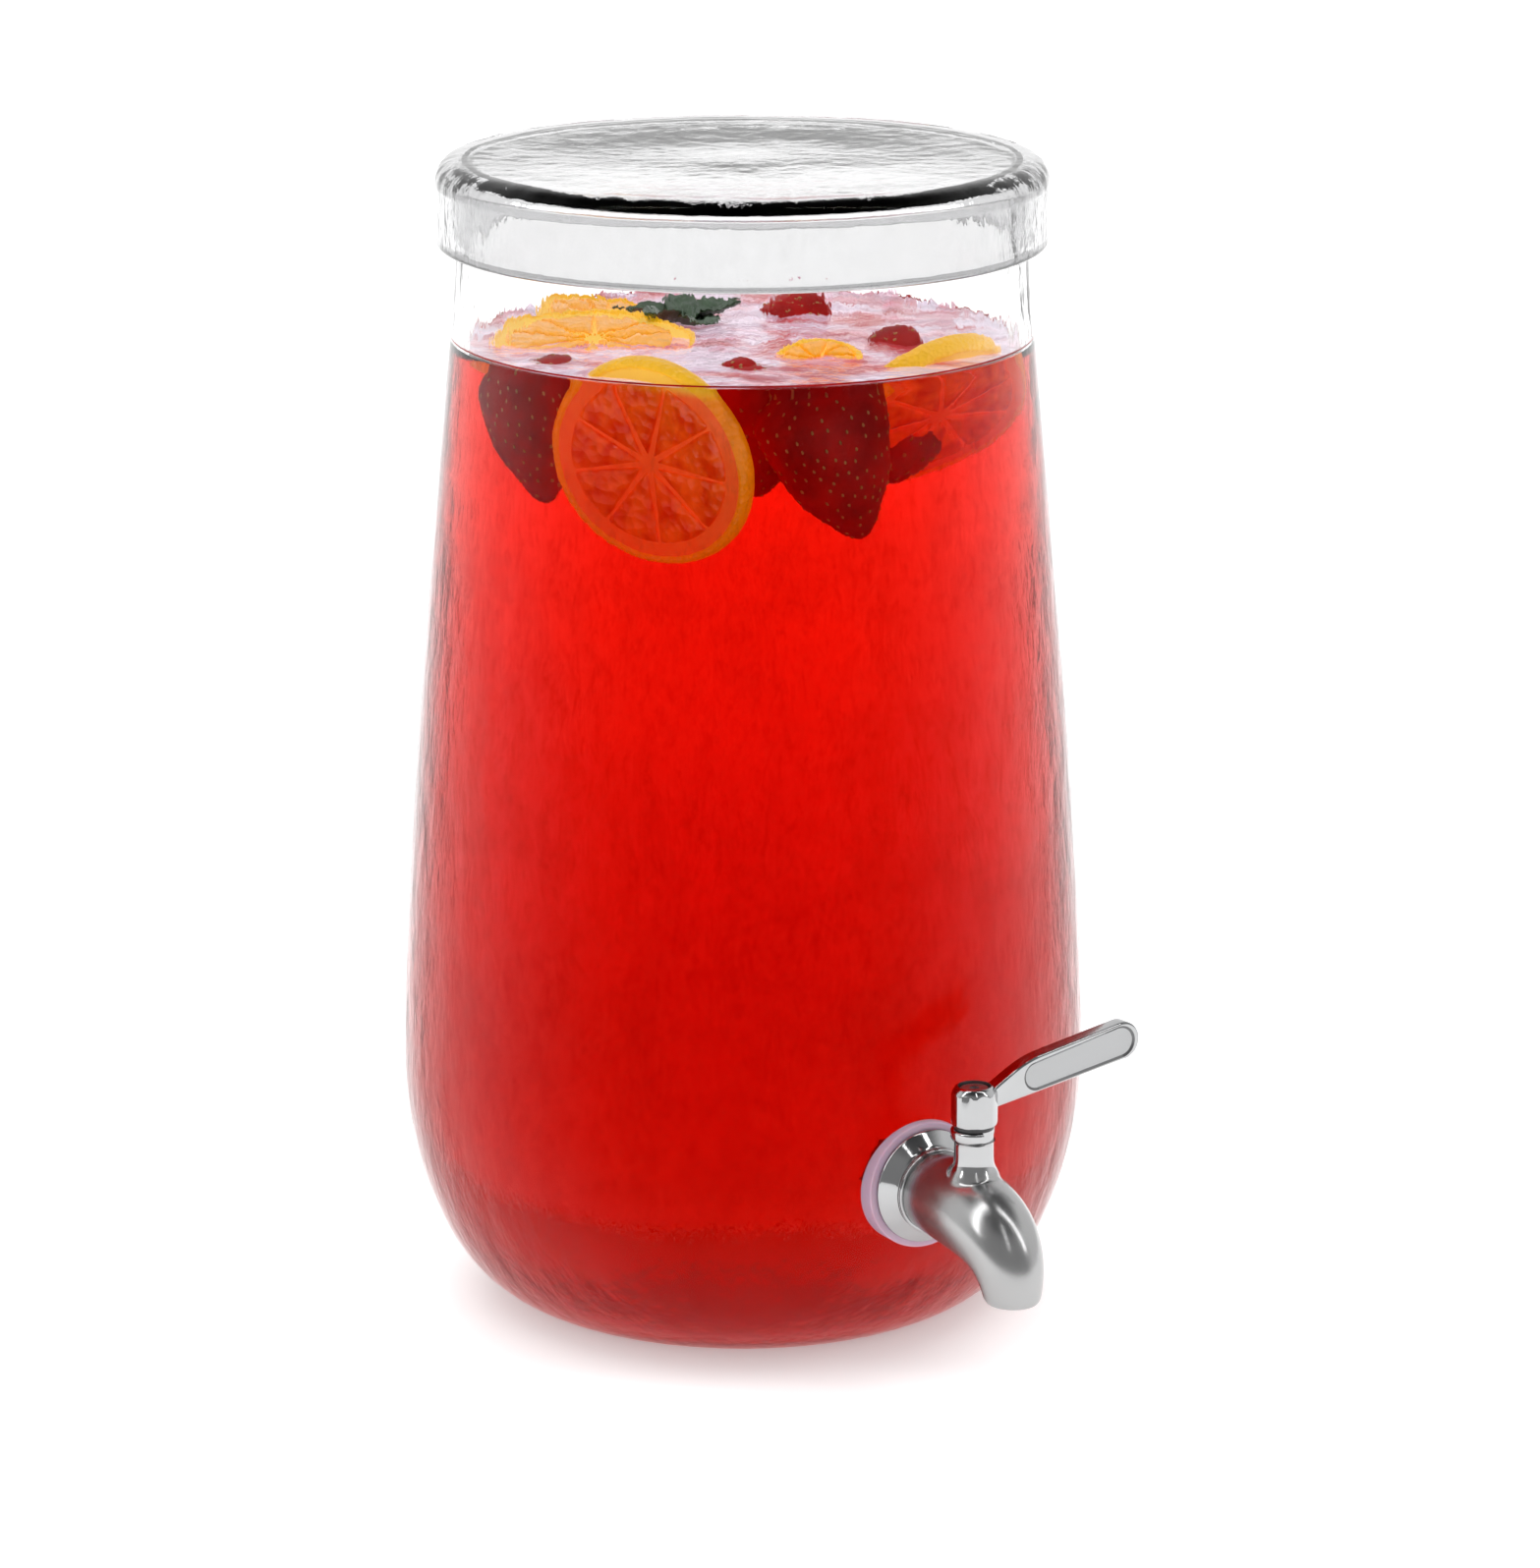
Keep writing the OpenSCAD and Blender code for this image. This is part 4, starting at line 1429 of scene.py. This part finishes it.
class DISPENSER_OT_spout(bpy.types.Operator):
    """The spout with its valve chest and stem collar"""

    bl_idname = "dispenser.spout"
    bl_label = "Spout"

    def execute(self, context):
        s = spigot_settings()

        def radius(t):
            belly = 0.0162
            r = s.root_radius * (1 - t) ** 2 + belly * 2 * t * (1 - t) + s.mouth_radius * t * t
            lip = max(0.0, (t - 0.975) / 0.025)
            return r - 0.0007 * lip**2

        spout = horn("spout", radius, 90, 96)
        collar = lathe("collar", rounded([
            (0.0, 0.0060), (0.0086, 0.0060), (0.0084, 0.0128), (0.0066, 0.0150), (0.0063, 0.0180),
            (0.0063, 0.0234), (0.0074, 0.0242), (0.0076, 0.0250), (0.0076, 0.0271),
            (0.0072, 0.0275), (0.0, 0.0275)],
            [0, 0, 0.003, 0.003, 0.003, 0.0005, 0.0005, 0.0005, 0.0003, 0.0003, 0], 5), 96, STEM)
        drill(spout, collar, "UNION")
        spout.modifiers.new("skin", "REMESH").mode = "VOXEL"
        spout.modifiers["skin"].voxel_size = 0.00034
        baked(spout)
        self.fillet(spout)
        start = -SPOUT_HIGH.y
        for tool in (
            lathe("bore", [(0, start - 0.002), (0.0102, start - 0.002), (0.0102, start + 0.0125),
                           (0, start + 0.0125)], 64, SPIGOT),
            lathe("chest", [(0, start + 0.011), (0.0091, start + 0.011), (0.0091, start + 0.0295),
                            (0, start + 0.0295)], 64, SPIGOT),
            lathe("stem_bore", [(0, 0), (0.0064, 0), (0.0064, 0.0121), (0.0048, 0.0121),
                                (0.0048, 0.03), (0, 0.03)], 64, STEM),
            lathe("mouth", [(0, -0.026), (0.0068, -0.026), (0.0066, -0.0225), (0.0066, -0.0095),
                            (0, -0.0095)], 64, STEM @ Matrix.Translation((0, -0.0235, 0))),
            lathe("slant", [(0, 0), (0.005, 0), (0.005, 0.0276), (0, 0.0276)], 48,
                  SPIGOT @ Matrix.Translation((0, 0.005, -STEM_Y + 0.002))
                  @ Matrix.Rotation(math.pi / 4, 4, "X")),
            self.notch(),
        ):
            drill(spout, tool)
        paint(soften(spout, 62), self.steel())
        settle(spout, BODY, "satin_steel", "spout_body")
        return {"FINISHED"}

    @staticmethod
    def fillet(spout):
        """Smooths the saddle where the stem collar grows out of the spout."""
        co = coordinates(spout)
        local = co - np.array([0, STEM_Y, SPIGOT_Z])
        r = np.hypot(local[:, 0], local[:, 1])
        near = (1 - fade(r, 0.0105, 0.0150)) * fade(local[:, 2], 0.0085, 0.0110)
        near *= 1 - fade(local[:, 2], 0.0180, 0.0210)
        group = spout.vertex_groups.new(name="saddle")
        for index in np.nonzero(near > 0.01)[0]:
            group.add([int(index)], float(near[index]), "REPLACE")
        for name, factor, times, vertex_group in (
            ("all", 0.5, 8, ""), ("saddle", 0.5, 60, "saddle")
        ):
            modifier = spout.modifiers.new(name, "SMOOTH")
            modifier.factor, modifier.iterations = factor, times
            modifier.vertex_group = vertex_group
        baked(spout)
        spout.vertex_groups.clear()

    @staticmethod
    def notch():
        """The quarter-turn gap in the collar's rim, from closed to open."""
        spare = math.radians(7)
        angles = np.linspace(-math.pi / 2 - spare, spare, 26)
        inner, outer = 0.0062, 0.012
        low, high = 0.0238, 0.030
        ring = [(inner * math.cos(a), inner * math.sin(a)) for a in angles]
        ring += [(outer * math.cos(a), outer * math.sin(a)) for a in reversed(angles)]
        n = len(ring)
        vertices = [(x, y, low) for x, y in ring] + [(x, y, high) for x, y in ring]
        half = n // 2
        faces = []
        for k in range(half - 1):
            a, b, c, d = k, k + 1, n - 2 - k, n - 1 - k
            faces.append((a, b, c, d))
            faces.append((n + d, n + c, n + b, n + a))
        faces += [(n + k, n + (k + 1) % n, (k + 1) % n, k) for k in range(n)]
        mesh = mesh_of("notch", vertices, faces)
        shape = bmesh.new()
        shape.from_mesh(mesh)
        bmesh.ops.recalc_face_normals(shape, faces=shape.faces)
        shape.to_mesh(mesh)
        shape.free()
        mesh.transform(STEM)
        return object_of("notch", mesh)

    @staticmethod
    def steel():
        """Satin on the spout, polished on the collar above it."""
        m = Finish("spout_steel")
        polish = m.height().step(SPIGOT_Z + 0.0125, SPIGOT_Z + 0.0155)
        smear = m.grain(45, detail=3)
        brush = m.grain(2600, (1, 0.06, 0.3), detail=2)
        satin = 0.17 + brush * 0.10
        bright = 0.04 + smear * 0.04
        return m.done(m.surface(
            Base_Color=m.blend(polish, m.blend(smear, (0.33, 0.33, 0.33), (0.40, 0.40, 0.40)),
                               (0.42, 0.423, 0.427)),
            Metallic=0.94 + polish * 0.06, Roughness=satin * (1 - polish) + bright * polish,
            Normal=m.bump(brush * (1 - polish), 0.000006),
        ))


def extruded(name, outline, depth, place, top=None):
    """A flat outline given a thickness, centred on its own plane; its top may be another outline."""
    n = len(outline)
    vertices = [(x, y, -depth / 2) for x, y in outline]
    vertices += [(x, y, depth / 2) for x, y in top or outline]
    faces = [tuple(range(n - 1, -1, -1)), tuple(range(n, 2 * n))]
    faces += [(k, (k + 1) % n, n + (k + 1) % n, n + k) for k in range(n)]
    mesh = mesh_of(name, vertices, faces)
    mesh.transform(place)
    return object_of(name, mesh)


def lever_outline():
    """The lever's side view: along from the stem, up from the spigot's axis."""
    tip, r = np.array([0.0545, 0.0483]), 0.0062
    slope = math.radians(9.7)
    arc = [tuple(tip + r * np.array([math.sin(slope + a), -math.cos(slope + a)]))
           for a in np.linspace(0, math.pi, 28)]
    return rounded([(0.0040, 0.0334)] + arc + [(0.0184, 0.0477), (0.0050, 0.0398)],
                   [0] * (len(arc) + 1) + [0.006, 0], 10)


def panel_outline(grow=0.0):
    start, end = np.array([0.0218, 0.0419]), np.array([0.0536, 0.0481])
    way = math.atan2(*(end - start)[::-1])
    near = [tuple(start + (0.0042 + grow) * np.array([math.cos(a), math.sin(a)]))
            for a in np.linspace(way + math.pi / 2, way + 3 * math.pi / 2, 24)]
    far = [tuple(end + (0.00475 + grow) * np.array([math.cos(a), math.sin(a)]))
           for a in np.linspace(way - math.pi / 2, way + math.pi / 2, 24)]
    return near + far


class DISPENSER_OT_lever(bpy.types.Operator):
    """The lever with its hub, stop tab and blasted panels"""

    bl_idname = "dispenser.lever"
    bl_label = "Lever"

    def execute(self, context):
        s = spigot_settings()
        upright = STEM @ Matrix.Rotation(math.pi / 2, 4, "X")
        lever = extruded("lever", lever_outline(), s.lever_thickness, upright)
        edge = lever.modifiers.new("edge", "BEVEL")
        edge.width, edge.segments, edge.angle_limit = 0.0007, 4, math.radians(50)
        baked(lever)
        r, low, high = s.hub_radius, 0.029, 0.0416
        hub = lathe("hub", rounded([(0, low), (r - 0.0002, low), (r, low + 0.0012),
                                    (r, high - 0.0020), (r - 0.0016, high), (0, high)],
                                   [0, 0.0004, 0.0006, 0.0012, 0.0008, 0], 6), 128, STEM)
        flats = extruded(
            "flats",
            [((r - 0.00035) / math.cos(math.pi / 8) * math.cos(math.radians(15 + 45 * k)),
              (r - 0.00035) / math.cos(math.pi / 8) * math.sin(math.radians(15 + 45 * k)))
             for k in range(8)], 0.1, STEM)
        drill(hub, flats, "INTERSECT")
        drill(lever, hub, "UNION")
        tab = extruded("tab", [(0.0066, -0.0007), (0.0072, -0.00075), (0.0072, 0.00075),
                               (0.0066, 0.0007)], 0.0046,
                       STEM @ Matrix.Translation((0, 0, 0.0271)))
        drill(lever, tab, "UNION")
        for side in (-1, 1):
            depth = 0.0005
            place = upright @ Matrix.Translation((0, 0, side * s.lever_thickness / 2))
            floor, mouth = panel_outline(-0.0002), panel_outline(0.0014)
            drill(lever, extruded("panel", *((floor, 2 * depth, place, mouth) if side > 0
                                             else (mouth, 2 * depth, place, floor))))
        drill(lever, lathe("recess", [(0, 0.0384), (0.0050, 0.0384), (0.0053, 0.0388),
                                      (0.0053, 0.05), (0, 0.05)], 96, STEM))
        drill(lever, extruded("square", [(-0.00325, -0.00325), (0.00325, -0.00325),
                                         (0.00325, 0.00325), (-0.00325, 0.00325)], 0.010,
                              STEM @ Matrix.Translation((0, 0, 0.032))))
        drill(lever, lathe("screw_hole", [(0, 0.030), (0.0022, 0.030), (0.0022, 0.045),
                                          (0, 0.045)], 32, STEM))
        # The third finish is painted shade for the walls of the panels and of the screw recess
        paint(lever, finish(polished_finish, "mirror_polish"),
              finish(matte_panel_finish, "blasted_steel"), finish(painted_groove_shade_finish, "dark_groove"))
        self.blast_panels(lever, s.lever_thickness / 2 - 0.0005)
        soften(lever, 28)
        settle(lever, "valve", "polished_steel", "handle")
        return {"FINISHED"}

    @staticmethod
    def blast_panels(lever, floor):
        """Gives the floors of the two panels the blasted finish, and paints shade onto the walls of the
        screw recess and round the panels.
        """
        for face in lever.data.polygons:
            across = abs(face.center.y - STEM_Y)
            # Painted shade on the wall of the screw recess
            if (math.hypot(face.center.x, across) < 0.0054
                    and face.center.z > SPIGOT_Z + 0.0386 and abs(face.normal.z) < 0.8):
                face.material_index = 2
            if face.center.x < 0.015 or across < floor - 0.00005:
                continue
            if across < floor + 0.00005 and abs(face.normal.y) > 0.9:
                face.material_index = 1
            # Painted shade on the sloping walls round each panel
            elif 0.3 < abs(face.normal.y) < 0.9 and across < floor + 0.0004:
                inward = min(math.dist((face.center.x, face.center.z - SPIGOT_Z), p)
                             for p in panel_outline(0.0003))
                if inward < 0.0018:
                    face.material_index = 2


def thread_maker(paint_steel):
    """A helical ridge wound round a shank."""
    k = Maker("screw_thread")
    k.input("Start", "Geometry")
    radius = k.input("Radius", default=0.0077)
    pitch = k.input("Pitch", default=0.0015)
    turns = k.input("Turns", default=8.0)
    helix = k.node(
        "GeometryNodeCurveSpiral", {},
        {"Resolution": 48, "Rotations": turns, "Start Radius": radius, "End Radius": radius,
         "Height": turns * pitch},
    )
    section = k.node(
        "GeometryNodeCurvePrimitiveCircle", {}, {"Resolution": 8, "Radius": pitch * 0.36}
    )
    ridge = k.node(
        "GeometryNodeCurveToMesh", {},
        {"Curve": helix, "Profile Curve": section, "Fill Caps": True},
    )
    return k.finish((ridge, paint_steel))


class DISPENSER_OT_thread(bpy.types.Operator):
    """The screw thread on the shank inside the jar"""

    bl_idname = "dispenser.thread"
    bl_label = "Shank thread"

    def execute(self, context):
        steel = finish(turned_finish, "lathe_turned")
        start = -SHANK_HIGH.y
        seed = object_of("seed", mesh_of("seed", [(0, 0, 0)], []))
        ridge = thread_maker(steel).make(seed, "shank_thread", Turns=7.0, Radius=0.00755)
        bpy.data.objects.remove(seed)
        ridge.data.transform(SPIGOT @ Matrix.Translation((0, 0, start + 0.0012)))
        soften(ridge, 60)
        settle(ridge, BODY, "turned_steel")
        return {"FINISHED"}


class DISPENSER_OT_metal(bpy.types.Operator):
    """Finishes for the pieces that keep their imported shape"""

    bl_idname = "dispenser.metal"
    bl_label = "Small parts"

    def execute(self, context):
        looks = {
            "polished_steel": finish(polished_finish, "mirror_polish"),
            "satin_steel": finish(satin_finish, "brushed_satin"),
            "turned_steel": finish(turned_finish, "lathe_turned"),
            "silicone": finish(silicone_finish, "pink_silicone"),
            "black_rubber": finish(black_rubber_finish, "o_ring_rubber"),
            "seat_plastic": finish(seat_finish, "ball_seat_plastic"),
            "jar_glass": bpy.data.materials["hammered_jar_glass"],
            "lid_glass": bpy.data.materials["hammered_lid_glass"],
        }
        for part in frame["record"]["subparts"]:
            node = frame["nodes"][part["node"]]
            look = looks[part["material_slot"]]
            if not node.material_slots:
                node.data.materials.append(look)
            for place in node.material_slots:
                place.material = look
        return {"FINISHED"}


class DISPENSER_PT_panel(bpy.types.Panel):
    """The dispenser's pieces"""

    bl_label = "Dispenser"
    bl_idname = "DISPENSER_PT_panel"
    bl_space_type = "VIEW_3D"
    bl_region_type = "UI"
    bl_category = "Dispenser"

    def draw(self, context):
        for group in (glass_settings(), drink_settings(), spigot_settings(),
                      context.scene.dispenser_stage):
            box = self.layout.box()
            for name in group.__annotations__:
                box.prop(group, name)
        for operator in OPERATORS:
            self.layout.operator(operator.bl_idname)


GROUPS = {
    "dispenser_glass": DispenserGlass,
    "dispenser_drink": DispenserDrink,
    "dispenser_spigot": DispenserSpigot,
    "dispenser_stage": DispenserStage,
}
OPERATORS = (
    DISPENSER_OT_stage, DISPENSER_OT_jar, DISPENSER_OT_lid, DISPENSER_OT_drink,
    DISPENSER_OT_citrus, DISPENSER_OT_strawberries, DISPENSER_OT_leaves, DISPENSER_OT_gaskets,
    DISPENSER_OT_flange, DISPENSER_OT_spout, DISPENSER_OT_lever, DISPENSER_OT_thread,
    DISPENSER_OT_metal,
)


def register():
    for kind in (*GROUPS.values(), *OPERATORS, DISPENSER_PT_panel):
        bpy.utils.register_class(kind)
    for name, group in GROUPS.items():
        setattr(bpy.types.Scene, name, PointerProperty(type=group))


def unregister():
    for name in GROUPS:
        delattr(bpy.types.Scene, name)
    for kind in (DISPENSER_PT_panel, *reversed(OPERATORS), *reversed(GROUPS.values())):
        bpy.utils.unregister_class(kind)


def main():
    register()
    for operator in OPERATORS:
        group, name = operator.bl_idname.split(".")
        getattr(getattr(bpy.ops, group), name)()


if __name__ == "__main__":
    main()
